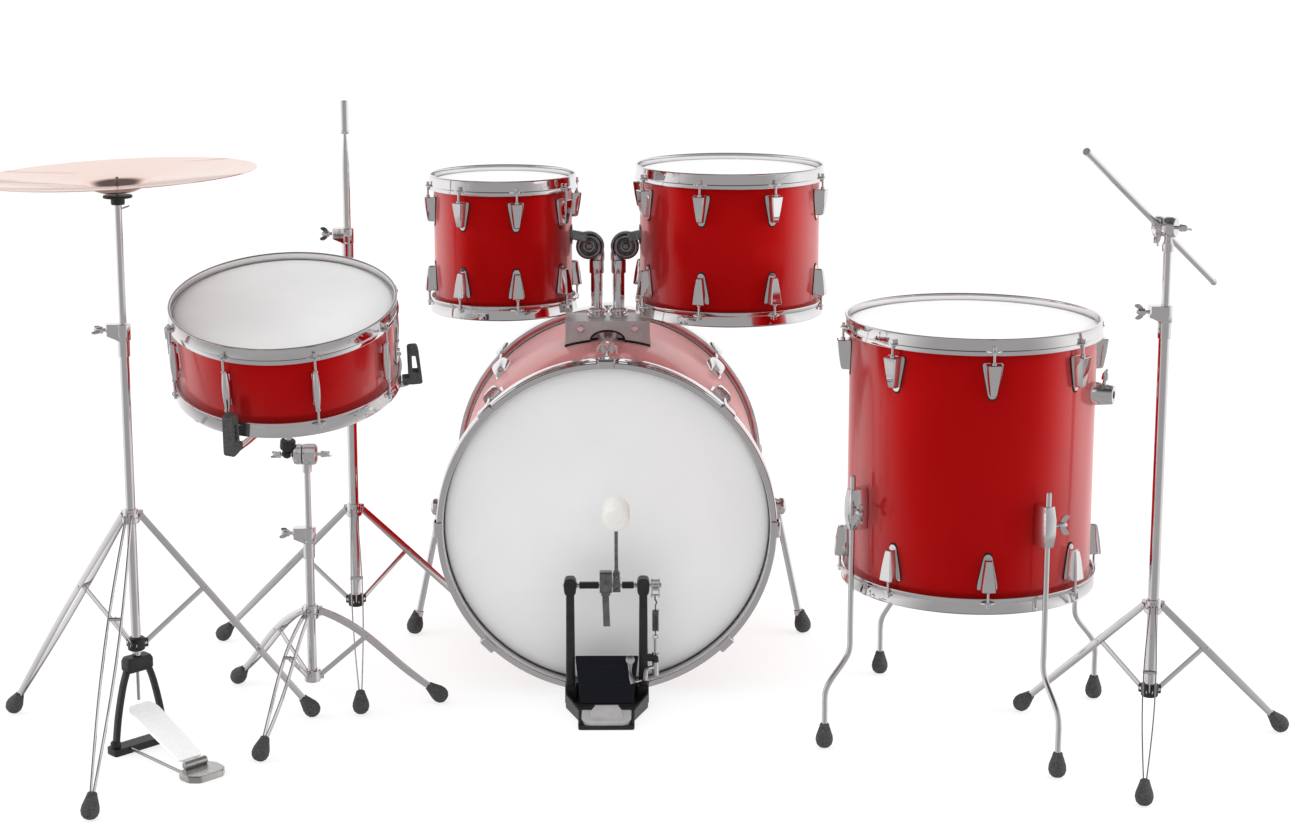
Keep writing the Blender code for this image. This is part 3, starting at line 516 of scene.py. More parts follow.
def wedge_lug(radius, size):
    """A tom lug hanging from z = 0: a shield-shaped plate and the tapering block on it."""
    plate = rounded([(-0.0148, 0), (0.0148, 0), (0.0138, -0.010), (0.0062, -0.0475), (0.0030, -0.0520),
                     (-0.0030, -0.0520), (-0.0062, -0.0475), (-0.0138, -0.010)], 0.0035, steps=3)

    def shield(grow, low, high):
        rings = []
        for depth in (low, high):
            rings.append([Vector((radius + depth, y * size * grow, -0.0005 + z * size * grow))
                          for y, z in plate])
        return loft(rings)

    rings = []
    for z, half, depth in ((-0.0010, 0.0108, 0.0185), (-0.0022, 0.0114, 0.0196), (-0.0240, 0.0086, 0.0172),
                           (-0.0420, 0.0058, 0.0142), (-0.0450, 0.0053, 0.0130), (-0.0462, 0.0046, 0.0100)):
        section = [(0.0008, -half), (depth - 0.0030, -half * 0.94), (depth, -half * 0.80),
                   (depth, half * 0.80), (depth - 0.0030, half * 0.94), (0.0008, half)]
        rings.append([Vector((radius + x * size, y * size, z * size)) for x, y in section])
    nut = rod((radius + 0.0122, 0, -0.003), (radius + 0.0122, 0, 0.0022), 0.0038, 12)
    return [shield(1.0, -0.0025, 0.0020), loft(rings), nut], [shield(1.05, -0.0030, 0.0009)]


def tube_lug(radius):
    """A slim barrel lug that serves both of the snare's hoops, with a collar at each end."""
    half = 0.033
    rings = []
    for k in range(15):
        z = -half + 2 * half * k / 14
        swell = math.cos(math.pi / 2 * z / half * 0.86)
        rings.append([Vector((radius + 0.0085 + v * (0.0048 + 0.0030 * swell),
                              u * (0.0036 + 0.0032 * swell), z)) for u, v in circle(1.0, 12)])
    shapes = [loft(rings)]
    for side in (-1, 1):
        shapes.append(lathe_at((radius + 0.0110, 0, side * (half + 0.0010) - 0.0022),
                               [(0.0040, 0), (0.0045, 0.0006), (0.0045, 0.0040), (0.0038, 0.0044)]))
    pads = [block((radius - 0.002, -0.0050, z - 0.006), (radius + 0.004, 0.0050, z + 0.006))
            for z in (-0.022, 0.022)]
    return shapes + pads, []


def flipped(meshes):
    """The same shapes upside down."""
    return [at(mesh, Matrix.Rotation(math.pi, 4, "X")) for mesh in meshes]


def drum(name, size, half, local, body, lugs, rod_reach, extra=None):
    """The shell, lugs, heads and hoops of an upright drum, about its own middle."""
    radius = size["radius"]
    angles = [size["first"] - 90 + 45 * k for k in range(8)]
    edge = half - HOOP
    wall = edge + 0.0150
    profile = [(radius - 0.007, -wall), (radius, -wall), (radius, wall), (radius - 0.007, wall)]
    shell = piece(f"{name}_wrap", "lacquer", body, [lathe(profile, 160, ring=True, soft=0.001)],
                  [f"{name}_shell"], local=local)
    metal, seals = lugs(angles, edge)
    if extra:
        more_metal, more_seals = extra()
        metal, seals = metal + more_metal, seals + more_seals
    piece(f"{name}_lugs", "chrome", body, metal, bevel=0.0005, local=local)
    if seals:
        piece(f"{name}_gaskets", "gasket", body, seals, local=local)
    for side, flip, rods in (("top", Matrix(), angles),
                             ("bottom", Matrix.Rotation(math.pi, 4, "X"), [-a for a in angles])):
        up = local @ flip @ Matrix.Translation((0, 0, edge))
        # The snare gets the darker head film, which is painted shade.
        piece(f"{name}_{side}_film", "snare_head_painted_shade" if name == "snare" else "head", body, [film(radius)],
              [f"{name}_{side}_head"], local=up)
        meshes = [hoop_ring(radius)]
        for angle in rods:
            meshes += tension_rod(radius, rod_reach, angle)
        piece(f"{name}_{side}_rim", "chrome", body, meshes, [f"{name}_{side}_hoop"], local=up)
    return shell


def tom_lugs(radius, size):
    """Eight lugs under the top hoop and eight above the bottom hoop."""
    def build(angles, edge):
        metal, seals = [], []
        for angle in angles:
            for down in (False, True):
                chromed, black = wedge_lug(radius, size)
                for group, target in ((chromed, metal), (black, seals)):
                    for mesh in group:
                        at(mesh, Matrix.Translation((0, 0, edge - LUG_GAP)))
                        if down:
                            at(mesh, Matrix.Rotation(math.pi, 4, "X"))
                        target.append(turned(mesh, angle))
        return metal, seals
    return build


def toms():
    for name in ("small_tom", "large_tom", "floor_tom"):
        size = DRUMS[name]
        half = (size["top"] - size["bottom"]) / 2
        local = Matrix.Translation((*size["at"], size["bottom"] + half))
        extra = floor_fittings if name == "floor_tom" else None
        drum(name, size, half, local, size["body"], tom_lugs(size["radius"], size["lug"]),
             LUG_GAP + 0.002, extra)
    floor_legs()


def wing_nut(place, direction, span=0.030, stem=0.024, roll=0):
    """A threaded stem, a round collar and two swept wings, pointing away from a clamp."""
    place, way = Vector(place), Vector(direction).normalized()
    turn = Matrix.Translation(place) @ facing(way) @ Matrix.Rotation(math.radians(roll), 4, "Z")
    shapes = [rod(place, place + way * (stem + 0.010), 0.0030, 12),
              at(lathe([(0.0052, stem - 0.004), (0.0060, stem - 0.003), (0.0052, stem + 0.006),
                        (0.0036, stem + 0.008)], 16), turn)]
    outline = rounded([(0.003, stem - 0.003), (span * 0.38, stem + 0.001), (span / 2, stem + 0.006),
                       (span / 2 - 0.001, stem + 0.012), (span * 0.36, stem + 0.013), (0.004, stem + 0.006)],
                      0.003, steps=3)
    for side in (1, -1):
        wing = loft([[Vector((y, side * x, z)) for x, z in outline] for y in (-0.0014, 0.0014)])
        shapes.append(at(wing, turn))
    return shapes


def floor_fittings():
    """Leg brackets, their wing screws, and the small accessory cup on the floor tom."""
    size = DRUMS["floor_tom"]
    radius, half = size["radius"], (size["top"] - size["bottom"]) / 2
    middle = 0.402 - (size["bottom"] + half)
    metal, seals = [], []
    for angle in FLOOR_LEG_ANGLES:
        rings = []
        for z, depth, width in ((-0.0340, 0.0285, 0.0092), (-0.0325, 0.0296, 0.0102), (-0.0120, 0.0325, 0.0122),
                                (0.0120, 0.0325, 0.0122), (0.0325, 0.0296, 0.0102), (0.0340, 0.0285, 0.0092)):
            section = rounded([(0.0, -width), (depth, -width * 0.85), (depth, width * 0.85), (0.0, width)],
                              0.0016, steps=2)
            rings.append([Vector((radius + x, y, middle + z)) for x, y in section])
        shapes = [loft(rings)]
        shapes += wing_nut((radius + 0.020, 0.008, middle), (0.25, 1, 0), 0.034, 0.018)
        metal += [turned(shape, angle) for shape in shapes]
        plate = rounded([(-0.0100, -0.0338), (0.0100, -0.0338), (0.0100, 0.0338), (-0.0100, 0.0338)], 0.004)
        seals.append(turned(loft([[Vector((radius + x, y, middle + z)) for y, z in plate]
                                  for x in (-0.003, 0.0012)]), angle))
    cup_z = 0.592 - (size["bottom"] + half)
    axis = Matrix.Translation((radius, 0, cup_z)) @ Matrix.Rotation(math.pi / 2, 4, "Y")
    cup = lathe([(0.0190, -0.002), (0.0196, 0.002), (0.0156, 0.033), (0.0142, 0.0345), (0.0064, 0.0345),
                 (0.0064, 0.012)], 28)
    screw = wing_nut((radius + 0.018, 0, cup_z + 0.016), (0.12, 0, 1), 0.018, 0.012)
    metal += [turned(shape, -24) for shape in [at(cup, axis)] + screw]
    seals.append(turned(at(lathe([(0.0062, 0.010), (0.0062, 0.0350)], 16), axis), -24))
    return metal, seals


def rubber_foot(lean_to=UP, height=0.0145, size=1.0):
    """A pear-shaped foot whose bulb rests on z = 0 and whose neck points along lean_to."""
    profile = [(0.0040, -0.0142), (0.0085, -0.0125), (0.0126, -0.0082), (0.0145, -0.0015), (0.0138, 0.0060),
               (0.0112, 0.0140), (0.0086, 0.0220), (0.0076, 0.0262), (0.0060, 0.0275)]
    return at(lathe([(r * size, z * size) for r, z in profile], 24),
              Matrix.Translation((0, 0, height * size)) @ facing(lean_to))


def floor_legs():
    """Four bent rods with rubber feet; each slides in its bracket."""
    for k, angle in enumerate(FLOOR_LEG_ANGLES):
        size = DRUMS["floor_tom"]
        near, far = 0.2255, 0.272
        step = far - near
        bend = [(near, 0, 0.190), (near, 0, 0.172), (near + 0.06 * step, 0, 0.158),
                (near + 0.26 * step, 0, 0.143), (near + 0.74 * step, 0, 0.117),
                (near + 0.94 * step, 0, 0.102), (far, 0, 0.088), (far, 0, 0.070)]
        path = [Vector((near, 0, 0.457))] + flowing(bend, 5) + [Vector((far, 0, 0.022))]
        place = (*size["at"], 0)
        leg = turned(sweep(path, circle(0.00475, 16), (0, 1, 0)), angle, place)
        tip = turned(rod((near, 0, 0.4565), (near, 0, 0.4588), 0.0038, 16), angle, place)
        piece(f"floor_leg_rod_{k + 1}", "chrome", f"floor_leg_{WORDS[k]}", [leg, tip], [f"floor_leg_{k + 1}"])
        foot = at(rubber_foot(), Matrix.Translation((far, 0, 0)))
        piece(f"floor_leg_foot_{k + 1}", "rubber", f"floor_leg_{WORDS[k]}", [turned(foot, angle, place)])


WORDS = ("one", "two", "three", "four")


# ---- bass drum ----
# Made about Z with +X straight up, then laid on its side with Z towards the player.
LAID = Matrix(((0, -1, 0, 0), (0, 0, -1, 0), (1, 0, 0, BASS["axis_z"]), (0, 0, 0, 1)))


def saddle_lug(radius):
    """An arched lug, open and flared at z = 0 towards its hoop, closed and low at its other end."""
    metal = []
    outer, inner = [], []
    for z, half, rise in ((0.0, 0.0185, 0.0190), (-0.010, 0.0172, 0.0196), (-0.030, 0.0140, 0.0180),
                          (-0.050, 0.0112, 0.0150), (-0.058, 0.0098, 0.0120), (-0.0615, 0.0080, 0.0060)):
        section = [(-0.0035, -half)]
        for k in range(11):
            a = math.pi * k / 10
            section.append((0.001 + (rise - 0.001) * math.sin(a) ** 0.55, -half * math.copysign(
                abs(math.cos(a)) ** 0.62, math.cos(a))))
        section.append((-0.0035, half))
        outer.append([Vector((radius + x, y, z)) for x, y in section])
        inner.append([Vector((radius + max(x * 0.80 - 0.0006, -0.003), y * 0.84, z)) for x, y in section])
    mouth = inner[0]
    pocket = [[v.copy() for v in ring] for ring in inner[1:3]]
    metal.append(hollow(outer, [mouth] + pocket))
    plate = rounded([(-0.0215, 0.001), (0.0215, 0.001), (0.0200, -0.012), (0.0125, -0.064), (-0.0125, -0.064),
                     (-0.0200, -0.012)], 0.005)
    metal.append(loft([[Vector((radius + x - y * y / (2 * radius), y, z)) for y, z in plate]
                       for x in (-0.002, 0.0014)]))
    metal.append(rod((radius + 0.0115, 0, -0.020), (radius + 0.0115, 0, -0.002), 0.0048, 14))
    return metal


def hollow(outer, inner):
    """A shell of rings whose first end is open into a pocket made of the inner rings."""
    mesh = bmesh.new()
    rings = [[mesh.verts.new(v) for v in ring] for ring in outer[::-1] + inner]
    count = len(rings[0])
    for low, high in zip(rings, rings[1:]):
        for i in range(count):
            j = (i + 1) % count
            mesh.faces.new((low[i], low[j], high[j], high[i]))
    mesh.faces.new(rings[0][::-1])
    mesh.faces.new(rings[-1])
    bmesh.ops.recalc_face_normals(mesh, faces=mesh.faces)
    return mesh


def claw(outer, width):
    """A hook over a bass hoop's front edge, its long tail on the rim, and its rod to the lug."""
    path = [(outer - 0.0010, 0, 0.0010), (outer + 0.0022, 0, 0.0080), (outer + 0.0034, 0, 0.0220),
            (outer + 0.0036, 0, 0.0380), (outer + 0.0024, 0, 0.0458), (outer - 0.0020, 0, 0.0480),
            (outer - 0.0105, 0, 0.0478)]
    smooth_path = flowing(path, 4)
    sizes = [0.50 + 0.50 * min(1.0, k / 10) for k in range(len(smooth_path))]
    hook = sweep(smooth_path, rounded([(-0.0014, -0.0150), (0.0014, -0.0135), (0.0014, 0.0135), (-0.0014, 0.0150)],
                                      0.001, steps=2), (0, 1, 0), sizes)
    stem = rod((outer - 0.0032, 0, -0.060), (outer - 0.0032, 0, 0.0040), 0.0030, 12)
    nut = rod((outer - 0.0020, 0, -0.0040), (outer - 0.0020, 0, 0.0030), 0.0052, 6)
    return [hook, stem, nut]


def bass_drum():
    radius, half, width = BASS["radius"], BASS["half"], BASS["hoop"]
    edge, outer = half - width, BASS["radius"] + BASS["rim"]
    wall = edge + 0.016
    angles = [45 * k for k in range(8)]
    profile = [(radius - 0.009, -wall), (radius + 0.0012, -wall), (radius + 0.0012, wall), (radius - 0.009, wall)]
    piece("bass_wrap", "lacquer", "kit", [lathe(profile, 200, ring=True, soft=0.001)], ["bass_shell"], local=LAID)
    # A thin black band round the shell just inside each hoop.
    bands = [lathe([(radius + 0.0010, z - 0.003), (radius + 0.0022, z - 0.002), (radius + 0.0022, z + 0.002),
                    (radius + 0.0010, z + 0.003)], 200, ring=True) for z in (-edge + 0.004, edge - 0.004)]
    piece("bass_edge_black_bands", "gasket", "kit", bands, local=LAID)
    metal = []
    for angle in angles:
        for turn in (Matrix(), Matrix.Rotation(math.pi, 4, "X")):
            for mesh in saddle_lug(radius + 0.001):
                at(mesh, turn @ Matrix.Translation((0, 0, 0.132)))
                metal.append(turned(mesh, angle))
    for angle in (90 + 10.5, 270 - 10.5):
        plate = rounded([(-0.024, -0.090), (0.024, -0.090), (0.024, -0.034), (-0.024, -0.034)], 0.008)
        foot = loft([[Vector((radius + x - y * y / (2 * radius), y, z)) for y, z in plate]
                     for x in (-0.002, 0.0045)])
        boss = rounded([(-0.0165, -0.082), (0.0165, -0.082), (0.0165, -0.042), (-0.0165, -0.042)], 0.007)
        boss = loft([[Vector((radius + x, y * s, -0.062 + (z + 0.062) * s)) for y, z in boss]
                     for x, s in ((0.002, 1.06), (0.020, 1.0), (0.0265, 0.94), (0.0282, 0.86))])
        screws = [lathe_x((radius + 0.004, y, z), 0.0040, 0.0026) for y in (-0.019, 0.019) for z in (-0.084, -0.040)]
        metal += [turned(mesh, angle) for mesh in [foot, boss] + screws]
    piece("bass_fittings", "chrome", "kit", metal, bevel=0.0005, local=LAID)
    for side, flip in (("batter", Matrix()), ("front", Matrix.Rotation(math.pi, 4, "X"))):
        up = LAID @ flip @ Matrix.Translation((0, 0, edge))
        rim = radius + 0.0023
        film_mesh = lathe([(0.03, 0.0185), (radius - 0.016, 0.0185), (radius - 0.007, 0.0182), (radius - 0.001, 0.0172),
                           (radius + 0.0014, 0.0155), (rim, 0.0128), (rim, 0.0090), (radius + 0.0056, 0.0090),
                           (radius + 0.0056, 0.0032), (radius + 0.0006, 0.0032), (radius + 0.0006, 0.0140),
                           (radius - 0.004, 0.0164), (0.03, 0.0175)], 200)
        piece(f"bass_{side}_film", "head", "kit", [film_mesh], [f"bass_{side}_head"], local=up)
        ring = lathe([(radius + 0.0062, 0.0), (outer - 0.0010, 0.0), (outer, 0.0012), (outer, width - 0.0120),
                      (outer - 0.0014, width - 0.0104), (outer - 0.0014, width - 0.0014), (outer - 0.0028, width),
                      (radius + 0.0044, width), (radius + 0.0030, width - 0.0014), (radius + 0.0028, 0.0095),
                      (radius + 0.0062, 0.0095)], 200, ring=True, soft=0.0006)
        meshes = [ring]
        for angle in angles:
            meshes += [turned(mesh, angle) for mesh in claw(outer, width)]
        piece(f"bass_{side}_rim", "chrome", "kit", meshes, [f"bass_{side}_hoop"], local=up)


def lathe_x(place, radius, rise):
    """A domed screw head whose axis is +X."""
    dome = lathe([(radius, -rise), (radius, rise * 0.4), (radius * 0.8, rise * 0.9), (radius * 0.35, rise)], 16)
    return at(dome, Matrix.Translation(Vector(place)) @ Matrix.Rotation(math.pi / 2, 4, "Y"))


def spurs():
    """The bass drum's folding legs: a toothed hub, a tube and a rubber tip."""
    for name, side in (("left", -1), ("right", 1)):
        pivot, tip = Vector((0.318 * side, 0.062, 0.250)), Vector((0.371 * side, 0.062, 0))
        along = (pivot - tip).normalized()
        hub_turn = Matrix.Translation((0, 0.062, 0.250)) @ facing((side, 0, 0))
        hub = lathe([(0.0150, 0.3104), (0.0162, 0.3116), (0.0162, 0.3180), (0.0140, 0.3190), (0.0140, 0.3235),
                     (0.0162, 0.3245), (0.0162, 0.3300), (0.0148, 0.3325), (0.0080, 0.3362)], 28)
        leg = sweep([pivot + along * 0.004, pivot - along * 0.012, pivot - along * 0.030, tip + along * 0.036],
                    circle(0.0064, 18), (0, 1, 0), (1.25, 1.25, 1.0, 1.0))
        collar = rod(tip + along * 0.036, tip + along * 0.047, 0.0084, 18)
        piece(f"bass_spur_leg_{name}", "chrome", f"spur_{name}", [at(hub, hub_turn), leg, collar],
              [f"bass_spur_{name}"])
        piece(f"bass_spur_tip_{name}", "rubber", f"spur_{name}",
              [at(rubber_foot(along, size=1.08), Matrix.Translation(tip))])


# ---- tom holder ----
POST_X, POST_Y = 0.0200, 0.025
RATCHET = Vector((0.0341, 0.025, 0.755))


def tom_holder():
    """The saddle on the bass drum with its arch, its gasket, key screws and collars."""
    shell = BASS["radius"] + 0.0018
    half = 0.0775
    wide, narrow = (0.0310, 0.0175), (0.0180, 0.0166)      # half width and height of the arch, front and behind
    front, step, back = -0.020, -0.006, 0.070

    def under(x, lift):
        return BASS["axis_z"] + math.sqrt((shell + lift) ** 2 - x * x)

    def saddle(lift_low, top, y0, y1, half_width, opening, rise):
        """An outline in x and z from one end round over the arch to the other."""
        outline = [(half_width, top), (-half_width, top)]
        run = [-half_width + k * (half_width - opening) / 6 for k in range(7)]
        outline += [(x, under(x, lift_low)) for x in run]
        outline += [(-opening * math.cos(a), under(opening, lift_low) + rise * math.sin(a))
                    for a in (math.pi * k / 12 for k in range(1, 12))]
        outline += [(-x, under(x, lift_low)) for x in reversed(run)]
        mesh = bmesh.new()
        rings = [[mesh.verts.new((x, y, z)) for x, z in outline] for y in (y0, y1)]
        count = len(outline)
        for i in range(count):
            j = (i + 1) % count
            mesh.faces.new((rings[0][i], rings[0][j], rings[1][j], rings[1][i]))
        for ring in rings:
            mesh.faces.new(ring)
        bmesh.ops.recalc_face_normals(mesh, faces=mesh.faces)
        return mesh

    metal = [saddle(0.0030, 0.622, front, step, half, *wide), saddle(0.0030, 0.622, step, back, half, *narrow)]
    bright = []
    for x in (-0.049, 0.049):
        bright.append(rod((x, -0.0230, 0.6085), (x, -0.0190, 0.6085), 0.0062, 24))
        bright.append(block((x - 0.0011, -0.0252, 0.6030), (x + 0.0011, -0.0225, 0.6140)))
    for x in (-POST_X, POST_X):
        collar = lathe([(0.0120, 0.6200), (0.0168, 0.6200), (0.0172, 0.6212), (0.0168, 0.6265), (0.0150, 0.6280),
                        (0.0150, 0.6330), (0.0164, 0.6342), (0.0164, 0.6385), (0.0152, 0.6400), (0.0120, 0.6402)],
                       32, ring=True)
        bright.append(at(collar, Matrix.Translation((x, POST_Y, 0))))
    piece("tom_holder_saddle", "alloy", "kit", metal, ["tom_holder_base"], bevel=0.0005)
    piece("tom_holder_collars", "chrome", "kit", bright, bevel=0.0003)
    seal = []
    for (opening, rise), y0, y1, face in ((wide, front - 0.0012, step, front - 0.0006),
                                          (narrow, step, back + 0.0012, back + 0.0006)):
        run = [opening + (0.0785 - opening) * k / 5 for k in range(6)]
        for side in (-1, 1):
            outline = [(side * x, under(x, -0.0012)) for x in run]
            outline += [(side * x, under(x, 0.0036)) for x in reversed(run)]
            seal.append(loft([[Vector((x, y, z)) for x, z in outline] for y in (y0, y1)]))
        path = [Vector((opening * math.cos(a), face, under(opening, 0.0030) + rise * math.sin(a)))
                for a in (math.pi * k / 16 for k in range(17))]
        seal.append(sweep(path, rectangle(0.0032, 0.0022), (0, 1, 0)))
    piece("tom_holder_gasket", "gasket", "kit", seal)

    for name, side, tom in (("left", -1, "small_tom"), ("right", 1, "large_tom")):
        middle = Vector((RATCHET.x * side, RATCHET.y, RATCHET.z))
        x = POST_X * side
        tube = lathe([(0.0100, 0.6045), (0.0113, 0.6045), (0.0113, 0.7080), (0.0100, 0.7080)], 32, ring=True)
        sleeve = lathe([(0.0116, 0.7050), (0.0136, 0.7050), (0.0140, 0.7060), (0.0140, 0.7290), (0.0120, 0.7300),
                        (0.0100, 0.7300)], 32)
        notch = block((x - 0.0022, POST_Y - 0.0128, 0.7000), (x + 0.0022, POST_Y - 0.0110, 0.7055))
        # The elbow leaves the sleeve and bends over the back of the ratchet.
        elbow_path = [(x, POST_Y + 0.002, 0.7220), (x - 0.003 * side, POST_Y + 0.006, 0.7360),
                      (middle.x - 0.0150 * side, POST_Y + 0.0090, 0.7530),
                      (middle.x - 0.0100 * side, POST_Y + 0.0090, 0.7700)]
        elbow = sweep(flowing(elbow_path, 5), circle(1.0, 18), (0, 1, 0),
                      [0.0138 - 0.0035 * k / 15 for k in range(16)])
        back = at(lathe([(0.0080, 0.0006), (0.0226, 0.0006), (0.0238, 0.0018), (0.0238, 0.0120), (0.0215, 0.0150),
                         (0.0120, 0.0170)], 48), Matrix.Translation(middle) @ facing((0, 1, 0)))
        piece(f"tom_post_tube_{name}", "chrome", f"{name}_tom_post",
              [at(tube, Matrix.Translation((x, POST_Y, 0))), at(sleeve, Matrix.Translation((x, POST_Y, 0))),
               notch, elbow, back], [f"tom_post_{name}"], bevel=0.0003)
        tom_arm(middle, side, tom)


def tom_arm(middle, side, tom):
    """The front half of a ratchet: a cupped disc, its hood, and the tapering arm to the shell."""
    size = DRUMS[tom]
    wall = abs(size["at"][0]) - size["radius"] + 0.0012
    face = Matrix.Translation(middle) @ facing((0, -1, 0))
    disc = lathe([(0.0060, 0.0006), (0.0226, 0.0006), (0.0238, 0.0018), (0.0238, 0.0100), (0.0226, 0.0128),
                  (0.0206, 0.0140), (0.0172, 0.0142), (0.0156, 0.0128), (0.0150, 0.0105), (0.0138, 0.0100),
                  (0.0132, 0.0120), (0.0124, 0.0122), (0.0112, 0.0085), (0.0060, 0.0070)], 56)
    boss = lathe([(0.0062, 0.0040), (0.0066, 0.0098), (0.0052, 0.0112), (0.0030, 0.0116)], 20)
    teeth = [at(turned(block((0.0070, -0.0008, 0.0068), (0.0108, 0.0008, 0.0084)), 45 * k), face)
             for k in range(8)]
    hood = [middle + Vector((-side * 0.0262 * math.cos(math.radians(a)), -0.0075,
                             0.0262 * math.sin(math.radians(a)))) for a in range(-38, 119, 12)]
    hood_mesh = sweep(hood, rectangle(0.0048, 0.0125, 0.0014), (0, 1, 0),
                      [0.55 + 0.45 * min(1, k / 4) for k in range(len(hood))])
    start = middle + Vector((side * 0.004, -0.0075, 0.0165))
    end = Vector((wall * side, middle.y - 0.0075, middle.z + 0.0225))
    arm_path = [start + (end - start) * k / 6 for k in range(7)]
    arm_mesh = sweep(arm_path, rectangle(0.0165, 0.0130, 0.0040), (0, 1, 0),
                     [1.15 - 0.10 * k / 6 for k in range(7)])
    flange = at(lathe([(0.0120, -0.001), (0.0185, -0.001), (0.0185, 0.0022), (0.0120, 0.0034)], 32),
                Matrix.Translation(end + Vector((-side * 0.0002, 0, 0))) @ facing((-side, 0, 0)))
    piece(f"{tom}_bracket", "chrome_painted_dark", tom, [at(disc, face), at(boss, face), hood_mesh, arm_mesh, flange] + teeth,
          [f"{tom}_arm"], bevel=0.0003)


# ---- bass pedal ----
AXLE = Vector((0, -0.320, 0.214))
HINGE = Vector((0, -0.392, 0.0165))


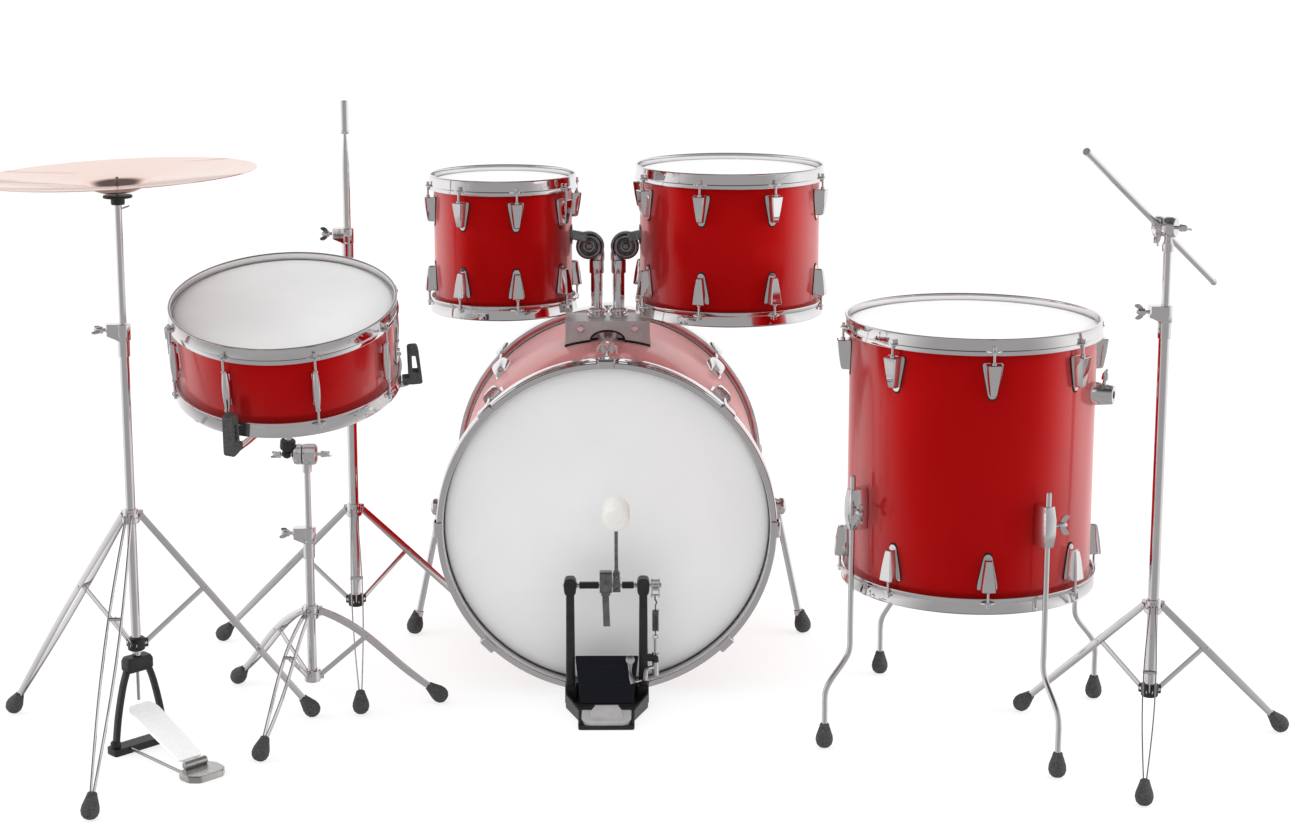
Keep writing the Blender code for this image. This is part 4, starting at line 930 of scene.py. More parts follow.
def pedal():
    post_x = 0.0633
    outline = rounded([(-0.071, -0.2880), (-0.071, -0.345), (-0.0475, -0.408), (-0.0475, -0.451),
                       (0.0475, -0.451), (0.0475, -0.408), (0.071, -0.345), (0.071, -0.2880)], 0.005)
    frame_shapes = [prism(outline, 0.0, 0.006)]
    for side in (-1, 1):
        wall = [(0.0715 * side, -0.296), (0.0715 * side, -0.345), (0.0478 * side, -0.408), (0.0478 * side, -0.446)]
        inner = [(x - 0.0042 * side, y) for x, y in wall]
        tops = (0.0270, 0.0250, 0.0185, 0.0100)
        rings = [[Vector((x, y, 0.001)), Vector((x, y, top)), Vector((u, v, top)), Vector((u, v, 0.001))]
                 for (x, y), (u, v), top in zip(wall, inner, tops)]
        frame_shapes.append(loft(rings))
    for side in (-1, 1):
        x = post_x * side
        stem = sweep([(x, AXLE.y, 0.003), (x, AXLE.y, 0.030), (x, AXLE.y, 0.100), (x, AXLE.y, 0.203)],
                     rounded(rectangle(0.0150, 0.0135), 0.004, steps=3), (0, 1, 0), (1.15, 1.08, 1.02, 0.94))
        head_outline = rounded([(-0.0088, -0.0155), (0.0088, -0.0155), (0.0108, -0.0060), (0.0108, 0.0070),
                                (0.0070, 0.0140), (-0.0070, 0.0140), (-0.0108, 0.0070), (-0.0108, -0.0060)], 0.004)
        head_mesh = loft([[Vector((x + u * s, AXLE.y + y, AXLE.z + w * s)) for u, w in head_outline]
                          for y, s in ((-0.0125, 0.86), (-0.0108, 1.0), (0.0108, 1.0), (0.0125, 0.86))])
        frame_shapes += [stem, head_mesh,
                         block((x - 0.0095, AXLE.y - 0.011, 0.004), (x + 0.0095, AXLE.y + 0.011, 0.034))]
    frame_shapes += [block((x - 0.012, -0.2960, 0.001), (x + 0.012, -0.2823, 0.0125)) for x in (-0.034, 0.034)]
    frame_shapes.append(block((-0.0690, -0.3080, 0.0040), (0.0690, -0.2900, 0.0330)))
    lug_path = [(post_x, AXLE.y, 0.082), (0.0745, AXLE.y, 0.083), (0.0844, AXLE.y, 0.082)]
    frame_shapes.append(sweep(lug_path, rectangle(0.0125, 0.0110, 0.0030), (0, 1, 0)))
    piece("pedal_casting", "black", "kit", frame_shapes, ["pedal_frame"], bevel=0.0006)

    spring_x = 0.0844
    screw = [rod((spring_x, AXLE.y, 0.060), (spring_x, AXLE.y, 0.1180), 0.0028, 12)]
    screw += [lathe_at((spring_x, AXLE.y, z), [(0.0026, 0), (0.0031, 0.0004), (0.0026, 0.0008)], 12)
              for z in (0.0950 + 0.0011 * k for k in range(18))]
    screw += [ring_at(Vector((spring_x, AXLE.y, 0.1205)), 0.0042, 0.0013, (0, 1, 0)),
              rod((spring_x, AXLE.y, 0.0880), (spring_x, AXLE.y, 0.0925), 0.0062, 6),
              rod((spring_x, AXLE.y, 0.0500), (spring_x, AXLE.y, 0.0760), 0.0060, 18)]
    elbow = flowing([(0.0844, AXLE.y, 0.0640), (0.0770, AXLE.y - 0.004, 0.0660), (0.0690, AXLE.y - 0.010, 0.0630),
                     (0.0665, AXLE.y - 0.012, 0.0460)], 5)
    screw.append(sweep(elbow, circle(0.0040, 12), (0, 1, 0)))
    piece("pedal_spring_screw", "chrome", "kit", screw)
    nut = wing_nut((spring_x, AXLE.y, 0.0765), (0, 0, 1), 0.020, 0.001)
    piece("pedal_spring_nut", "black", "kit", nut, bevel=0.0003)

    clamp_path = flowing([(0.0405, -0.3470, 0.0850), (0.0400, -0.3530, 0.0750), (0.0415, -0.3600, 0.0630),
                          (0.0460, -0.3660, 0.0520)], 5)
    key = [sweep(clamp_path, rectangle(0.0085, 0.0030, 0.0010), (0, 1, 0),
                 [0.55 + 0.65 * abs(1 - k / 7.5) for k in range(16)]),
           at(lathe([(0.0060, -0.002), (0.0078, -0.001), (0.0078, 0.002), (0.0060, 0.003)], 20),
              Matrix.Translation((0.0405, -0.3475, 0.0880)) @ facing((0, -1, 0.4))),
           rod((0.0460, -0.3640, 0.0530), (0.0600, -0.3300, 0.0450), 0.0026, 10)]
    piece("pedal_clamp_key", "chrome", "kit", key, bevel=0.0003)

    heel_rings = []
    for drop, grow in ((0.0, 1.0), (1.0, 1.0), (1.12, 0.95)):
        heel_rings.append([Vector((x * grow, -0.4265 + (y + 0.4265) * grow, 0.0063 + (top - 0.0063) * drop))
                           for x, y, top in ((-0.0425, -0.4030, 0.0172), (-0.0425, -0.4320, 0.0130),
                                             (-0.0365, -0.4440, 0.0112), (-0.0270, -0.4475, 0.0108),
                                             (0.0270, -0.4475, 0.0108), (0.0365, -0.4440, 0.0112),
                                             (0.0425, -0.4320, 0.0130), (0.0425, -0.4030, 0.0172))])
    heel = [loft(heel_rings)]
    pad = rounded([(-0.0205, -0.4015), (0.0205, -0.4015), (0.0270, -0.4150), (0.0262, -0.4390), (-0.0262, -0.4390),
                   (-0.0270, -0.4150)], 0.005)
    heel.append(loft([[Vector((x * s, -0.420 + (y + 0.420) * s, z + 0.24 * (y + 0.439))) for x, y in pad]
                      for z, s in ((0.0105, 1.0), (0.0150, 1.0), (0.0168, 0.94))]))
    heel.append(block((-0.0200, -0.408, 0.0063), (0.0200, -0.3825, 0.0110)))
    heel.append(rod((-0.0205, HINGE.y, HINGE.z), (0.0205, HINGE.y, HINGE.z), 0.0060, 20))
    piece("pedal_heel", "alloy", "kit", heel, ["pedal_heel_plate"], bevel=0.0006)

    toe = Vector((0, -0.333, 0.085))
    along = (toe - HINGE).normalized()
    length = (toe - HINGE).length
    tilt = Matrix.Translation(HINGE) @ board_turn(along)
    face = rounded([(-0.0450, 0.009), (-0.0550, length + 0.005), (0.0550, length + 0.005), (0.0450, 0.009)], 0.003)
    board = [loft([[Vector((x, y, z)) for y, z in face] for x in (-0.0022, 0.0022)])]
    board += [block((-0.0028, -0.043 - 0.008 * k / 5, 0.022 + 0.0120 * k),
                    (-0.0020, 0.043 + 0.008 * k / 5, 0.0240 + 0.0120 * k)) for k in range(6)]
    piece("pedal_tread", "navy", "bass_pedal_board", [at(mesh, tilt) for mesh in board], ["pedal_footboard"],
          bevel=0.0006)

    shaft = [rod((-0.0760, AXLE.y, AXLE.z), (0.0935, AXLE.y, AXLE.z), 0.0036, 18)]
    sleeves = []
    for low, high in ((-0.0475, -0.0135), (0.0265, 0.0470)):
        sleeves.append(rod((low, AXLE.y, AXLE.z), (high, AXLE.y, AXLE.z), 0.0064, 6))
    shaft += [rod((s - 0.0012, AXLE.y, AXLE.z), (s + 0.0012, AXLE.y, AXLE.z), 0.0056, 20) for s in (-0.0510, 0.0500)]
    rocker = rounded([(-0.0070, 0.0125), (0.0070, 0.0125), (0.0076, -0.004), (0.0054, -0.0225), (-0.0054, -0.0225),
                      (-0.0076, -0.004)], 0.004)
    for x in (0.0772, 0.0894):
        shaft.append(loft([[Vector((x + d, AXLE.y + y, AXLE.z + z)) for y, z in rocker] for d in (0, 0.0022)]))
    shaft += [rod((0.0765, AXLE.y, AXLE.z - 0.0180), (0.0925, AXLE.y, AXLE.z - 0.0180), 0.0022, 12),
              rod((0.0765, AXLE.y, AXLE.z + 0.0075), (0.0925, AXLE.y, AXLE.z + 0.0075), 0.0030, 12),
              rod((0.0780, AXLE.y, AXLE.z - 0.0070), (0.0910, AXLE.y, AXLE.z - 0.0070), 0.0034, 12),
              rod((0.0915, AXLE.y, AXLE.z), (0.0945, AXLE.y, AXLE.z), 0.0050, 6)]
    piece("pedal_shaft", "chrome", "bass_pedal_shaft", shaft, ["pedal_axle"], bevel=0.0002)
    piece("pedal_shaft_sleeves", "black", "bass_pedal_shaft", sleeves, bevel=0.0003)

    cam = rounded([(-0.0160, -0.010), (-0.0160, 0.0060), (-0.0100, 0.0260), (0.0060, 0.0260), (0.0100, 0.0150),
                   (0.0100, -0.010)], 0.003)
    cam_shapes = [loft([[Vector((x, AXLE.y + y, AXLE.z + z)) for y, z in cam] for x in (-0.0122, 0.0094)]),
                  block((-0.0095, AXLE.y - 0.0150, AXLE.z - 0.0145), (0.0066, AXLE.y + 0.004, AXLE.z - 0.008))]
    strap = flowing([(-0.0018, AXLE.y - 0.0142, AXLE.z - 0.0090), (-0.0014, AXLE.y - 0.0146, AXLE.z - 0.0300),
                     (-0.0006, AXLE.y - 0.0145, AXLE.z - 0.0500), (0.0000, AXLE.y - 0.0142, AXLE.z - 0.0700)], 5)
    cam_shapes.append(sweep(strap, rectangle(0.0118, 0.0018, 0.0006), (0, 1, 0)))
    cam_shapes.append(lathe_y(Vector((-0.0016, AXLE.y - 0.0155, AXLE.z - 0.0190)), 0.0024, 0.0012))
    piece("pedal_cam", "chrome_painted_dark", "bass_pedal_shaft", cam_shapes, bevel=0.0006)

    lean = Matrix.Translation(AXLE) @ Matrix.Rotation(math.radians(20), 4, "X")
    clamp = [block((0.0102, -0.0085, -0.0095), (0.0238, 0.0085, 0.0120)),
             block((0.0118, -0.0075, 0.0110), (0.0222, 0.0075, 0.0215)),
             rod((0.0168, 0, 0.0205), (0.0168, 0, 0.0275), 0.0064, 20),
             rod((0.0168, 0, 0.0270), (0.0168, 0, 0.0305), 0.0048, 20)]
    clamp += [lathe_y(Vector((0.0170, -0.0085, z)), 0.0034, 0.0018) for z in (-0.0040, 0.0065)]
    clamp += [lathe_y(Vector((0.0168, -0.0075, 0.0165)), 0.0030, 0.0020),
              rod((0.0168, -0.0130, 0.0240), (0.0168, -0.005, 0.0240), 0.0024, 4)]
    rod_path = [(0.0168, 0, 0.026), (0.0168, 0, 0.080), (0.0168, 0, 0.145)]
    clamp.append(sweep(rod_path, circle(0.0033, 14), (0, 1, 0)))
    piece("pedal_beater_rod", "chrome_painted_dark", "bass_pedal_shaft", clamp, ["pedal_beater"], local=lean, bevel=0.0004)
    felt_head = lathe([(0.0110, -0.0225), (0.0190, -0.0215), (0.0222, -0.0190), (0.0232, -0.012), (0.0234, 0.0),
                       (0.0232, 0.012), (0.0222, 0.0190), (0.0190, 0.0215), (0.0110, 0.0225)], 40)
    turn = Matrix.Translation((0.0168, 0, 0.150)) @ Matrix.Rotation(math.pi / 2, 4, "X")
    piece("pedal_beater_felt", "felt", "bass_pedal_shaft", [at(felt_head, turn)], local=lean)

    spring_low, spring_high, turns = 0.1310, 0.1690, 14
    coil = [(spring_x + 0.0050 * math.cos(t), AXLE.y + 0.0050 * math.sin(t),
             spring_low + (spring_high - spring_low) * t / (2 * math.pi * turns))
            for t in (2 * math.pi * turns * k / (turns * 12) for k in range(turns * 12 + 1))]
    coil_mesh = tube_along(coil, 0.00115, 6)
    loops = [ring_at(Vector((spring_x, AXLE.y, z)), 0.0042, 0.0011, (1, 0, 0)) for z in (0.1265, 0.1738)]
    hook = tube_along(flowing([(spring_x, AXLE.y, 0.1775), (spring_x + 0.002, AXLE.y - 0.001, 0.1830),
                               (spring_x - 0.001, AXLE.y, 0.1890), (spring_x, AXLE.y, 0.1950)], 4), 0.0014, 8)
    made = piece("pedal_coil_spring", "chrome_painted_dark", "kit", [coil_mesh, hook] + loops, ["pedal_spring"])
    return made


def board_turn(along):
    """Takes a board's length, Z, to a direction and its width, Y, to level across."""
    z_axis = Vector(along).normalized()
    y_axis = UP.cross(z_axis).normalized()
    return Matrix((y_axis.cross(z_axis), y_axis, z_axis)).transposed().to_4x4()


def lathe_y(place, radius, rise):
    """A domed screw head that faces -Y."""
    dome = lathe([(radius, -rise), (radius, rise * 0.4), (radius * 0.8, rise * 0.9), (radius * 0.35, rise)], 14)
    return at(dome, Matrix.Translation(place) @ facing((0, -1, 0)))


def ring_at(centre, radius, thickness, axis, sides=20):
    """A round wire loop about an axis."""
    mesh = lathe([(radius + thickness * math.cos(a), thickness * math.sin(a))
                  for a in (2 * math.pi * k / 8 for k in range(8))], sides, ring=True)
    return at(mesh, Matrix.Translation(centre) @ facing(axis))


def tube_along(points, radius, sides=8):
    """A wire through the points, its section carried without twisting."""
    points = [Vector(p) for p in points]
    side = Vector((1, 0, 0))
    rings = []
    for k, point in enumerate(points):
        ahead = (points[min(k + 1, len(points) - 1)] - points[max(k - 1, 0)]).normalized()
        side = side - ahead * side.dot(ahead)
        if side.length < 1e-4:
            side = ahead.orthogonal()
        side.normalize()
        over = ahead.cross(side)
        rings.append([point + radius * (math.cos(a) * side + math.sin(a) * over)
                      for a in (2 * math.pi * i / sides for i in range(sides))])
    return loft(rings)


# ---- stands ----
def leg_strips(top, ankle, out, bow, arch, width=0.0105, depth=0.0022, steps=18):
    """Two thin strips that part in the middle and meet at both ends."""
    side = out.cross(UP)
    normal = (ankle - top).cross(side).normalized()
    shapes = []
    for way in (-1, 1):
        path = []
        for k in range(steps + 1):
            t = k / steps
            swell = math.sin(math.pi * t)
            spread = 0.0042 * (1 - t) + 0.0022 * t + bow * swell
            path.append(top + (ankle - top) * t + side * way * spread
                        + (UP * 0.6 + out * 0.8) * arch * swell * (1 - t) ** 1.5)
        shapes.append(sweep(path, rectangle(depth, width, 0.0006), normal))
    return shapes


def tripod(name, collar="black", wing=(-1, 0, 0), bottom=None):
    """Leg strips, braces, collars, a slotted lower tube with its clamp, and three rubber feet."""
    size = STANDS[name]
    place = Matrix.Translation((*size["at"], 0))
    low = size["lower"] - 0.012 if bottom is None else bottom
    tube_r, clamp_z = size["tube"], size["clamp"]
    metal = [lathe([(tube_r - 0.0012, low), (tube_r, low + 0.0006), (tube_r, clamp_z), (tube_r - 0.0012, clamp_z)],
                   28, ring=True)]
    dark, rubbers = [], []
    upper = lathe([(tube_r + 0.0004, -0.0120), (0.0128, -0.0120), (0.0142, -0.0105), (0.0142, -0.0030),
                   (0.0128, -0.0020), (0.0128, 0.0090), (0.0118, 0.0115), (tube_r + 0.0004, 0.0118)], 32, ring=True)
    metal.append(at(upper, Matrix.Translation((0, 0, size["upper"]))))
    lower = lathe([(tube_r + 0.0004, -0.0105), (0.0125, -0.0105), (0.0140, -0.0090), (0.0140, 0.0090),
                   (0.0125, 0.0105), (tube_r + 0.0004, 0.0105)], 32, ring=True)
    (dark if collar == "black" else metal).append(at(lower, Matrix.Translation((0, 0, size["lower"]))))
    for k in range(3):
        angle = math.radians(size["first"] + 120 * k)
        out = Vector((math.cos(angle), math.sin(angle), 0))
        side = out.cross(UP)
        top = out * 0.0150 + UP * size["upper"]
        foot = out * size["feet"]
        lean = (top - foot).normalized()
        ankle = foot + UP * 0.0145 + lean * 0.0240
        metal += leg_strips(top, ankle, out, size["bow"], size["arch"])
        knee = top + (ankle - top) * BRACE_SHARE
        swell = math.sin(math.pi * BRACE_SHARE)
        knee += (UP * 0.6 + out * 0.8) * size["arch"] * swell * (1 - BRACE_SHARE) ** 1.5
        seat = out * 0.0145 + UP * size["lower"]
        brace = [seat + (knee - seat) * t / 6 for t in range(7)]
        metal.append(sweep(brace, rectangle(0.0022, 0.0090, 0.0006), (knee - seat).cross(side)))
        metal += [rod(spot - side * reach, spot + side * reach, 0.0030, 14)
                  for spot, reach in ((top, 0.0085), (knee, 0.0050 + size["bow"]))]
        ears = [block((0.0100, y - 0.0012, size["upper"] - 0.0085), (0.0195, y + 0.0012, size["upper"] + 0.0075))
                for y in (-0.0022, 0.0022)]
        metal += [turned(ear, math.degrees(angle)) for ear in ears]
        lug = turned(block((0.0100, -0.0040, size["lower"] - 0.0070), (0.0190, 0.0040, size["lower"] + 0.0070)),
                     math.degrees(angle))
        pin = rod(seat - side * 0.0055, seat + side * 0.0055, 0.0030, 14)
        (dark if collar == "black" else metal).append(lug)
        metal.append(pin)
        rubbers.append(at(rubber_foot(lean), Matrix.Translation(foot)))
    clamp = lathe([(tube_r + 0.0002, -0.0400), (tube_r + 0.0018, -0.0398), (tube_r + 0.0020, -0.0140),
                   (0.0110, -0.0136), (0.0118, -0.0126), (0.0118, 0.0126), (0.0110, 0.0136),
                   (tube_r - 0.0008, 0.0138)], 32)
    metal.append(at(clamp, Matrix.Translation((0, 0, clamp_z))))
    way = Vector(wing).normalized()
    plan = [(0.0054, -0.0105), (0.0240, -0.0105), (0.0262, -0.0083), (0.0262, 0.0083), (0.0240, 0.0105),
            (0.0054, 0.0105), (0.0086, 0.0045), (0.0096, 0), (0.0086, -0.0045)]
    jaw = loft([[Vector((x, y, clamp_z - 0.0134 + max(0, x - 0.0090) * 0.5)) for x, y in plan],
                [Vector((x, y, clamp_z + 0.0134)) for x, y in plan]])
    metal.append(turned(jaw, math.degrees(math.atan2(way.y, way.x))))
    metal += wing_nut(UP * (clamp_z + 0.003) + way * 0.0240, way, 0.026, 0.012, size["roll"])
    piece(f"{name}_legs", "chrome", "kit", metal, [f"{name}_tripod"], bevel=0.0003, local=place)
    if dark:
        piece(f"{name}_lower_collar", "black", "kit", dark, bevel=0.0004, local=place)
    piece(f"{name}_feet", "rubber", "kit", rubbers, local=place)


def rear_stand():
    tripod("rear")
    radius = 0.0067
    place = Matrix.Translation((*STANDS["rear"]["at"], 0))
    tube = lathe([(radius - 0.001, 0.5405), (radius, 0.5415), (radius, 0.9130), (0.0034, 0.9720), (0.0034, 0.9800)],
                 28)
    sleeve = lathe([(0.0036, 0.9730), (0.0070, 0.9735), (0.0077, 0.9745), (0.0077, 0.9800), (0.0070, 0.9812),
                    (0.0071, 1.0306), (0.0064, 1.0318), (0.0042, 1.0320), (0.0042, 1.0150)], 28)
    piece("rear_post_tube", "chrome", "rear_post", [tube, sleeve], ["rear_upper_tube"], local=place)


def boom_stand():
    tripod("boom")
    place = Matrix.Translation((*STANDS["boom"]["at"], 0))
    pivot = Vector((0.85, -0.527, 0)).normalized()
    middle = Vector((0, 0, 0.870))
    tube = lathe([(0.0057, 0.4805), (0.0067, 0.4815), (0.0067, 0.8560), (0.0050, 0.8570)], 28)
    neck = lathe([(0.0068, 0.8300), (0.0092, 0.8310), (0.0096, 0.8400), (0.0067, 0.8480)], 28)
    half_drum = toothed(middle, pivot, -0.0070, 0.0130, 0.0168)
    screw = wing_nut(middle + pivot * 0.012, pivot, 0.032, 0.010, 75)
    piece("boom_post_tube", "chrome", "boom_post", [tube, neck, half_drum] + screw, ["boom_upper_tube"],
          bevel=0.0003, local=place)
    hub = toothed(middle, pivot, -0.0234, -0.0074, 0.0168)
    rise = math.radians(24)
    level = Vector((pivot.y, -pivot.x, 0))
    along = level * math.cos(rise) + UP * math.sin(rise)
    centre = middle - pivot * 0.0154
    sleeve = sweep([centre - along * 0.0185, centre - along * 0.0160, centre + along * 0.0160, centre + along * 0.0185],
                   circle(0.0086, 20), pivot, (0.85, 1.0, 1.0, 0.85))
    over = pivot.cross(along)
    grip = wing_nut(centre + over * 0.006, over, 0.024, 0.012)
    piece("boom_tilter_hub", "chrome", "boom_hub", [hub, sleeve] + grip, ["boom_tilter"], bevel=0.0003, local=place)
    arm = tube_along([centre - along * 0.330, centre - along * 0.328, centre + along * 0.368, centre + along * 0.372],
                     0.0052, 20)
    tip = rod(centre + along * 0.3600, centre + along * 0.3735, 0.0058, 18)
    tail = rod(centre - along * 0.3310, centre - along * 0.3240, 0.0056, 18)
    piece("boom_arm_rod", "chrome", "boom_bar", [arm, tip, tail], ["boom_arm"], local=place)


def toothed(middle, axis, low, high, radius=0.0152, teeth=30):
    """Half of a ratchet: a drum with fine teeth on its rim near the joint."""
    rings = []
    for t, grow in ((0.0, 0.90), (0.12, 1.0), (0.70, 1.0), (0.78, 0.93), (0.94, 0.93), (1.0, 0.86)):
        ring = []
        for i in range(teeth * 2):
            a = math.pi * i / teeth
            r = radius * grow * (1.0 if i % 2 else 0.975)
            ring.append(Vector((r * math.cos(a), r * math.sin(a), low + (high - low) * t)))
        rings.append(ring)
    return at(loft(rings), Matrix.Translation(middle) @ facing(axis))


# ---- snare drum and its stand ----
def snare_frame():
    return (Matrix.Translation(SNARE["at"])
            @ Matrix.Rotation(math.radians(SNARE["lean"]), 4, "X"))


def snare():
    half, radius, local = SNARE["height"] / 2, SNARE["radius"], snare_frame()

    def lugs(angles, edge):
        metal = []
        for angle in angles:
            metal += [turned(mesh, angle) for mesh in tube_lug(radius)[0]]
        return metal, []

    def fittings():
        throw = [block((radius - 0.001, -0.0130, -0.030), (radius + 0.0105, 0.0130, 0.020)),
                 rod((radius + 0.006, 0, 0.018), (radius + 0.006, 0, 0.030), 0.0050, 20),
                 block((radius - 0.001, -0.0090, -0.040), (radius + 0.0060, 0.0090, -0.028))]
        butt = [block((radius - 0.001, -0.0140, -0.030), (radius + 0.0065, 0.0140, -0.008)),
                block((radius - 0.001, -0.0090, -0.040), (radius + 0.0050, 0.0090, -0.028))]
        butt += [lathe_x((radius + 0.0070, y, -0.019), 0.0030, 0.0018) for y in (-0.008, 0.008)]
        metal = [turned(mesh, SNARE["strainer"]) for mesh in throw]
        metal += [turned(mesh, SNARE["strainer"] + 180) for mesh in butt]
        return metal, []

    drum("snare", SNARE, half, local, "snare_drum", lugs, half - HOOP - 0.033, fittings)
    wires = [block((x - 0.0009, -0.020, -0.0726), (x + 0.0009, 0.020, -0.0700)) for x in (-0.148, 0.148)]
    count = 16
    for k in range(count):
        y = -0.0185 + 0.037 * k / (count - 1)
        wires.append(rod((-0.148, y, -0.0716), (0.148, y, -0.0716), 0.0007, 8))
    wires += [block((s * 0.1580 - 0.012, -0.020, -0.0722), (s * 0.1580 + 0.012, 0.020, -0.0712)) for s in (-1, 1)]
    piece("snare_wire_set", "steel", "snare_drum", [turned(mesh, SNARE["strainer"]) for mesh in wires],
          ["snare_wires"], local=local)
    lever = [block((radius + 0.0130, -0.0060, -0.0205), (radius + 0.0180, 0.0060, 0.012)),
             prism(rounded([(radius + 0.0128, -0.0095), (radius + 0.0205, -0.0075), (radius + 0.0215, 0.0),
                            (radius + 0.0205, 0.0075), (radius + 0.0128, 0.0095)], 0.002), 0.009, 0.026),
             rod((radius + 0.0155, -0.0075, -0.0170), (radius + 0.0155, 0.0075, -0.0170), 0.0030, 14)]
    piece("snare_throw_lever", "chrome", "snare_lever", [turned(mesh, SNARE["strainer"]) for mesh in lever],
          ["snare_strainer_lever"], local=local, bevel=0.0006)


def snare_stand():
    tripod("snare", collar="chrome")
    place = Matrix.Translation((*STANDS["snare"]["at"], 0))
    z = 0.461
    tube = lathe([(0.0044, 0.1105), (0.0054, 0.1115), (0.0054, 0.4500), (0.0044, 0.4510)], 24)
    neck = lathe([(0.0056, 0.4290), (0.0078, 0.4300), (0.0082, 0.4420), (0.0066, 0.4500)], 24)
    barrel = at(lathe([(0.0150, -0.0060), (0.0176, -0.0052), (0.0184, 0.0), (0.0184, 0.0120), (0.0172, 0.0160),
                       (0.0120, 0.0185), (0.0050, 0.0190)], 40), Matrix.Translation((0, 0, z)) @ facing((1, 0, 0)))
    wing = wing_nut((0.014, 0, z), (1, 0, 0), 0.026, 0.014, 60)
    piece("snare_post_tube", "chrome", "snare_post", [tube, neck, barrel] + wing, ["snare_upper_tube"],
          bevel=0.0003, local=place)

    tilt = snare_frame()
    pivot = Vector((*STANDS["snare"]["at"], z))
    hub_z = -0.118
    stem_top = tilt @ Vector((0, 0, hub_z))
    half_barrel = at(lathe([(0.0150, 0.0064), (0.0176, 0.0070), (0.0180, 0.0150), (0.0168, 0.0200),
                            (0.0120, 0.0230)], 40), Matrix.Translation(pivot) @ facing((-1, 0, 0)))
    elbow = pivot + Vector((-0.0330, 0, 0.0010))
    rise = (stem_top - elbow).normalized()
    stem = rod(elbow, stem_top, 0.0062, 20)
    catch = wing_nut(elbow + Vector((-0.006, 0, -0.002)), (-1, 0, 0), 0.018, 0.008, 70)
    hub = at(lathe([(0.0120, hub_z - 0.0120), (0.0160, hub_z - 0.0105), (0.0160, hub_z + 0.0090),
                    (0.0120, hub_z + 0.0115)], 28), tilt)
    metal, grips = [half_barrel, stem, hub, rod(pivot - X_WAY * 0.0220, elbow, 0.0050, 16)] + catch, []
    for angle in (12, 132, 252):
        turn = tilt @ Matrix.Rotation(math.radians(angle), 4, "Z")
        path = flowing([(0.010, 0, hub_z + 0.004), (0.070, 0, hub_z + 0.007), (0.140, 0, hub_z + 0.012),
                        (0.196, 0, -0.0985)], 6)
        metal += [at(sweep([p + Vector((0, y, 0)) for p in path], rectangle(0.0080, 0.0018, 0.0005), (0, 1, 0)), turn)
                  for y in (-0.0032, 0.0032)]
        outer = rounded([(0.1985, -0.0990), (0.2215, -0.0990), (0.2160, -0.0290), (0.1985, -0.0290)], 0.005)
        hole = rounded([(0.2048, -0.0750), (0.2148, -0.0760), (0.2115, -0.0460), (0.2048, -0.0450)], 0.002)
        rings = [[Vector((x, y, w)) for x, w in outline]
                 for outline, y in ((outer, -0.0095), (outer, 0.0095), (hole, 0.0095), (hole, -0.0095))]
        grips += [at(loft(rings, closed=True), turn),
                  at(block((0.1880, -0.0090, -0.0990), (0.2010, 0.0090, -0.0850)), turn)]
    piece("snare_basket_arms", "chrome", "snare_drum", metal, ["snare_basket"], bevel=0.0003)
    piece("snare_basket_grips", "rubber", "snare_drum", grips, bevel=0.0022)
    knob = lathe([(0.0108, 0.0085), (0.0124, 0.0095), (0.0130, 0.0120), (0.0130, 0.0235), (0.0115, 0.0250)], 28)
    at(knob, Matrix.Translation(elbow) @ facing(rise))
    piece("snare_basket_knob", "black", "snare_drum", [knob, ball(elbow, 0.0088)], bevel=0.0003)


# ---- hi-hat ----
def hat_axes():
    """Local axes at the hi-hat's tube: X towards the heel plate, Z up."""
    heel = Vector((0.7071, -0.7071, 0))
    turn = Matrix((heel, UP.cross(heel), UP)).transposed().to_4x4()
    return Matrix.Translation((*STANDS["hihat"]["at"], 0)) @ turn


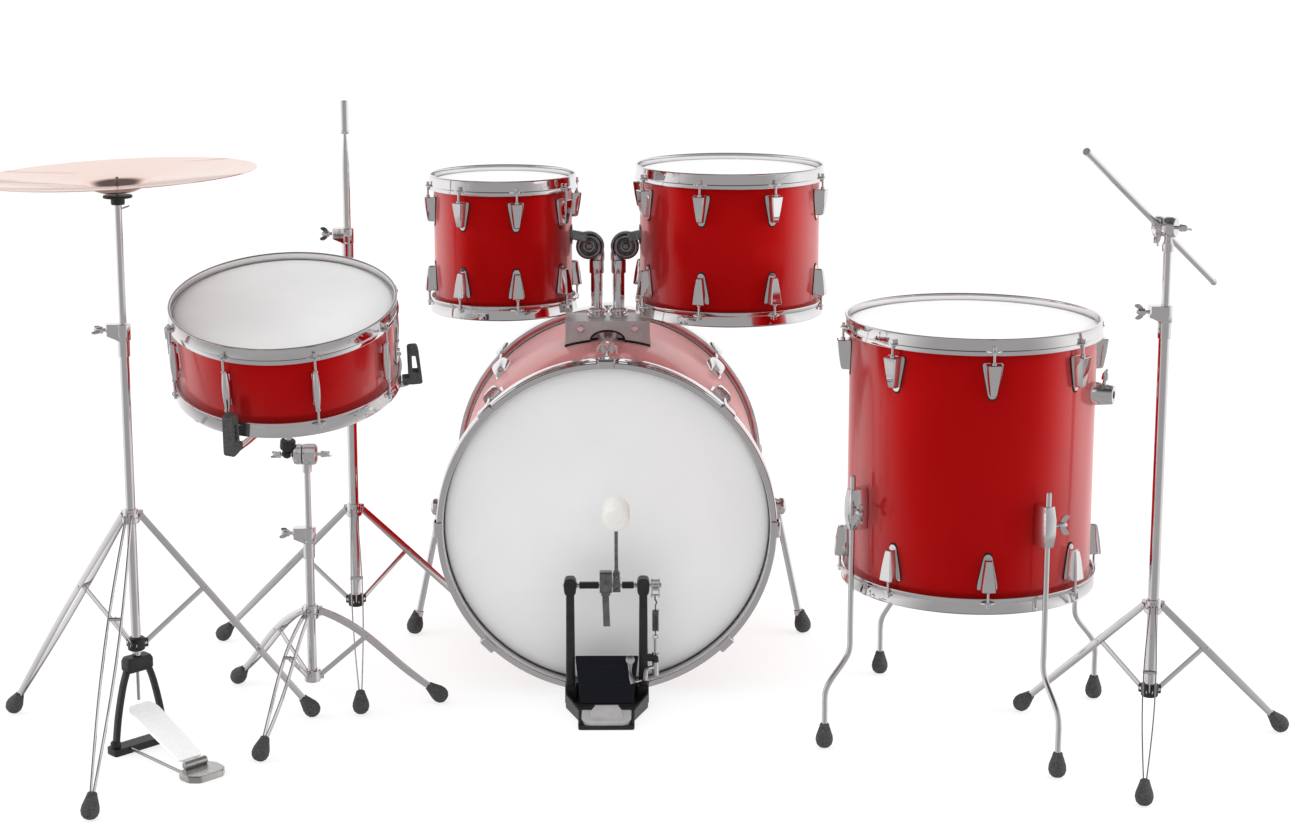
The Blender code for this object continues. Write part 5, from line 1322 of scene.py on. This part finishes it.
def hihat():
    tripod("hihat", bottom=0.1588)
    local, place = hat_axes(), Matrix.Translation((*STANDS["hihat"]["at"], 0))
    shapes = [loft([[Vector((x * s, y * s, z)) for x, y in rounded([(-0.013, -0.024), (0.013, -0.024), (0.013, 0.024),
                                                                    (-0.013, 0.024)], 0.005)]
                    for z, s in ((0.134, 0.92), (0.138, 1.0), (0.152, 1.0), (0.1583, 0.86))]),
              prism(rounded([(-0.014, -0.056), (0.014, -0.056), (0.014, 0.056), (-0.014, 0.056)], 0.005), 0, 0.012)]
    for side in (-1, 1):
        path = flowing([(0, 0.018 * side, 0.142), (0, 0.029 * side, 0.110), (0, 0.040 * side, 0.060),
                        (0, 0.047 * side, 0.008)], 5)
        shapes.append(sweep(path, rectangle(0.0085, 0.0120, 0.0020), (1, 0, 0)))
        shapes.append(turned_block((0, 0.047 * side, 0.012), 0.0085, 0.010))
    piece("hihat_yoke", "black", "kit", shapes, ["hihat_frame"], local=local, bevel=0.0006)
    heel_shapes = [rod((0.0145, 0.027 * s, 0.0080), (0.162, 0.027 * s, 0.0080), 0.0026, 14) for s in (-1, 1)]
    heel_outline = rounded([(0.156, -0.030), (0.168, -0.036), (0.190, -0.035), (0.204, -0.022), (0.204, 0.022),
                            (0.190, 0.035), (0.168, 0.036), (0.156, 0.030)], 0.005)
    heel_shapes.append(loft([[Vector((0.180 + (x - 0.180) * s, y * s, z)) for x, y in heel_outline]
                             for z, s in ((0.0, 1.0), (0.0085, 1.0), (0.0110, 0.94))]))
    heel_shapes.append(rod((0.158, -0.0205, 0.0165), (0.158, 0.0205, 0.0165), 0.0068, 20))
    piece("hihat_heel", "steel", "kit", heel_shapes, ["hihat_heel_plate"], local=local, bevel=0.0006)
    run = Vector((-0.160, 0, 0.058))
    tilt = Matrix.Translation((0.158, 0, 0.0165)) @ board_turn(run)
    face = rounded([(-0.0220, 0.012), (-0.0262, 0.150), (-0.0200, 0.168), (0.0200, 0.168), (0.0262, 0.150),
                    (0.0220, 0.012)], 0.006)
    board = [loft([[Vector((x, y, z)) for y, z in face] for x in (-0.0020, 0.0020)])]
    board += [block((-0.0024, -0.0175, 0.030 + 0.014 * k), (-0.0018, 0.0175, 0.0325 + 0.014 * k)) for k in range(9)]
    piece("hihat_tread", "tread", "hihat_board", [at(mesh, tilt) for mesh in board], ["hihat_footboard"],
          local=local, bevel=0.0006)

    tube = lathe([(0.0049, 0.5005), (0.0059, 0.5015), (0.0059, 0.9090), (0.0049, 0.9100)], 28)
    pin = rod((0.0050, 0, 0.8990), (0.0190, -0.0040, 0.9040), 0.0013, 8)
    seat = lathe([(0.0060, 0.9050), (0.0100, 0.9056), (0.0109, 0.9066), (0.0112, 0.9158), (0.0226, 0.9166),
                  (0.0232, 0.9176), (0.0232, 0.9196), (0.0222, 0.9208), (0.0060, 0.9212)], 36)
    piece("hihat_post_tube", "chrome", "hihat_post", [tube, pin], ["hihat_upper_tube"], local=place)
    piece("hihat_cymbal_seat", "black", "hihat_post", [seat], local=place, bevel=0.0003)
    piece("hihat_pull", "steel", "hihat_rod", [rod((0, 0, 0.0815), (0, 0, 0.9500), 0.0026, 16)],
          ["hihat_pull_rod"], local=place)

    bow = [(0.0048, -0.0294), (0.0180, -0.0296), (0.0290, -0.0288), (0.0380, -0.0248), (0.0440, -0.0190),
           (0.0490, -0.0158), (0.0600, -0.0139), (0.0850, -0.0112), (0.1200, -0.0080), (0.1600, -0.0048),
           (0.1950, -0.0022), (0.2190, -0.0006)]
    upper = [(r, z + 0.0011) for r, z in reversed(bow)]
    cymbal = lathe(bow + upper, 160, ring=True)
    lean = Matrix.Rotation(math.radians(-2), 4, "Y")
    where = Matrix.Translation((*STANDS["hihat"]["at"], 0.955))
    piece("hihat_cymbal_disc", "copper", "hihat_plate", [cymbal], ["hihat_cymbal"], local=where @ lean)


def turned_block(place, radius, height):
    """A short boss standing on a place."""
    return lathe_at(place, [(radius, 0), (radius, height * 0.8), (radius * 0.85, height)], 20)


# ---- camera, light and floor ----
def studio():
    """A camera at the player's side, a soft room, and a pale floor."""
    scene = bpy.context.scene
    scene.view_settings.view_transform = "Standard"
    camera = bpy.data.cameras.new("camera")
    camera.lens = 62.19
    camera.sensor_width = 36
    camera.shift_y = -0.085
    stand = bpy.data.objects.new("camera", camera)
    scene.collection.objects.link(stand)
    stand.location = MIDDLE @ Vector((0.0407, -4.0599, 1.3818))
    stand.rotation_euler = (math.radians(90 - 10.16), 0, math.radians(-0.525))
    scene.camera = stand

    floor_mesh = bpy.data.meshes.new("floor")
    reach = 30.0
    floor_mesh.from_pydata([(-reach, -reach, 0), (reach, -reach, 0), (reach, reach, 0), (-reach, reach, 0)], [],
                           [(0, 1, 2, 3)])
    floor = bpy.data.objects.new("floor", floor_mesh)
    scene.collection.objects.link(floor)
    floor.location.z = -0.0005
    paint, nodes, links, main = shader("pale_floor", (0.26, 0.26, 0.26), 0.9)
    main.inputs["Emission Color"].default_value = (1, 1, 1, 1)
    main.inputs["Emission Strength"].default_value = 0.75
    floor_mesh.materials.append(paint)
    floor.visible_glossy = False
    room(scene)
    lamp("key", (-1.6, -3.8, 3.4), (0.0, 0.0, 0.45), 3.0, 12)
    lamp("left", (-4.6, -0.3, 1.3), (0.0, 0.0, 0.45), 3.0, 120)
    lamp("right", (4.6, -0.3, 1.3), (0.0, 0.0, 0.45), 3.0, 150)
    lamp("top", (0.0, 0.2, 4.2), (0.0, 0.1, 0.3), 3.4, 40)


def lamp(name, place, target, size, power):
    """A large soft area light aimed at a point."""
    light = bpy.data.lights.new(name, "AREA")
    light.size = size
    light.energy = power
    made = bpy.data.objects.new(name, light)
    bpy.context.scene.collection.objects.link(made)
    made.location = place
    made.rotation_euler = (Vector(target) - Vector(place)).to_track_quat("-Z", "Y").to_euler()
    made.visible_glossy = False


def room(scene):
    """White for the eye and for soft light; what metal mirrors is greyer behind the player and dark high up."""
    world = bpy.data.worlds.new("room")
    scene.world = world
    world.use_nodes = True
    nodes, links = world.node_tree.nodes, world.node_tree.links
    back = nodes["Background"]
    place = nodes.new("ShaderNodeTexCoord")
    parts = nodes.new("ShaderNodeSeparateXYZ")
    links.new(place.outputs["Generated"], parts.inputs["Vector"])

    def eased(value, from_min, from_max, to_min, to_max):
        node = nodes.new("ShaderNodeMapRange")
        node.interpolation_type = "SMOOTHSTEP"
        for name, number in (("From Min", from_min), ("From Max", from_max), ("To Min", to_min),
                             ("To Max", to_max)):
            node.inputs[name].default_value = number
        links.new(value, node.inputs["Value"])
        return node.outputs["Result"]

    def combined(operation, first, second):
        node = nodes.new("ShaderNodeMath")
        node.operation = operation
        links.new(first, node.inputs[0])
        links.new(second, node.inputs[1])
        return node.outputs["Value"]

    walls = eased(parts.outputs["Y"], -0.80, 0.10, 0.38, 1.0)
    high = eased(parts.outputs["Z"], 0.35, 0.80, 1.0, 0.12)
    ground = eased(parts.outputs["Z"], -0.60, -0.12, 0.40, 1.0)
    mirrored = combined("MULTIPLY", combined("MINIMUM", walls, ground), high)
    path = nodes.new("ShaderNodeLightPath")
    choose = nodes.new("ShaderNodeMix")
    choose.data_type = "FLOAT"
    links.new(path.outputs["Is Glossy Ray"], choose.inputs["Factor"])
    choose.inputs["A"].default_value = 1.0
    links.new(mirrored, choose.inputs["B"])
    links.new(choose.outputs["Result"], back.inputs["Color"])
    back.inputs["Strength"].default_value = 1.0


toms()
bass_drum()
spurs()
tom_holder()
pedal()
rear_stand()
boom_stand()
snare()
snare_stand()
hihat()
studio()
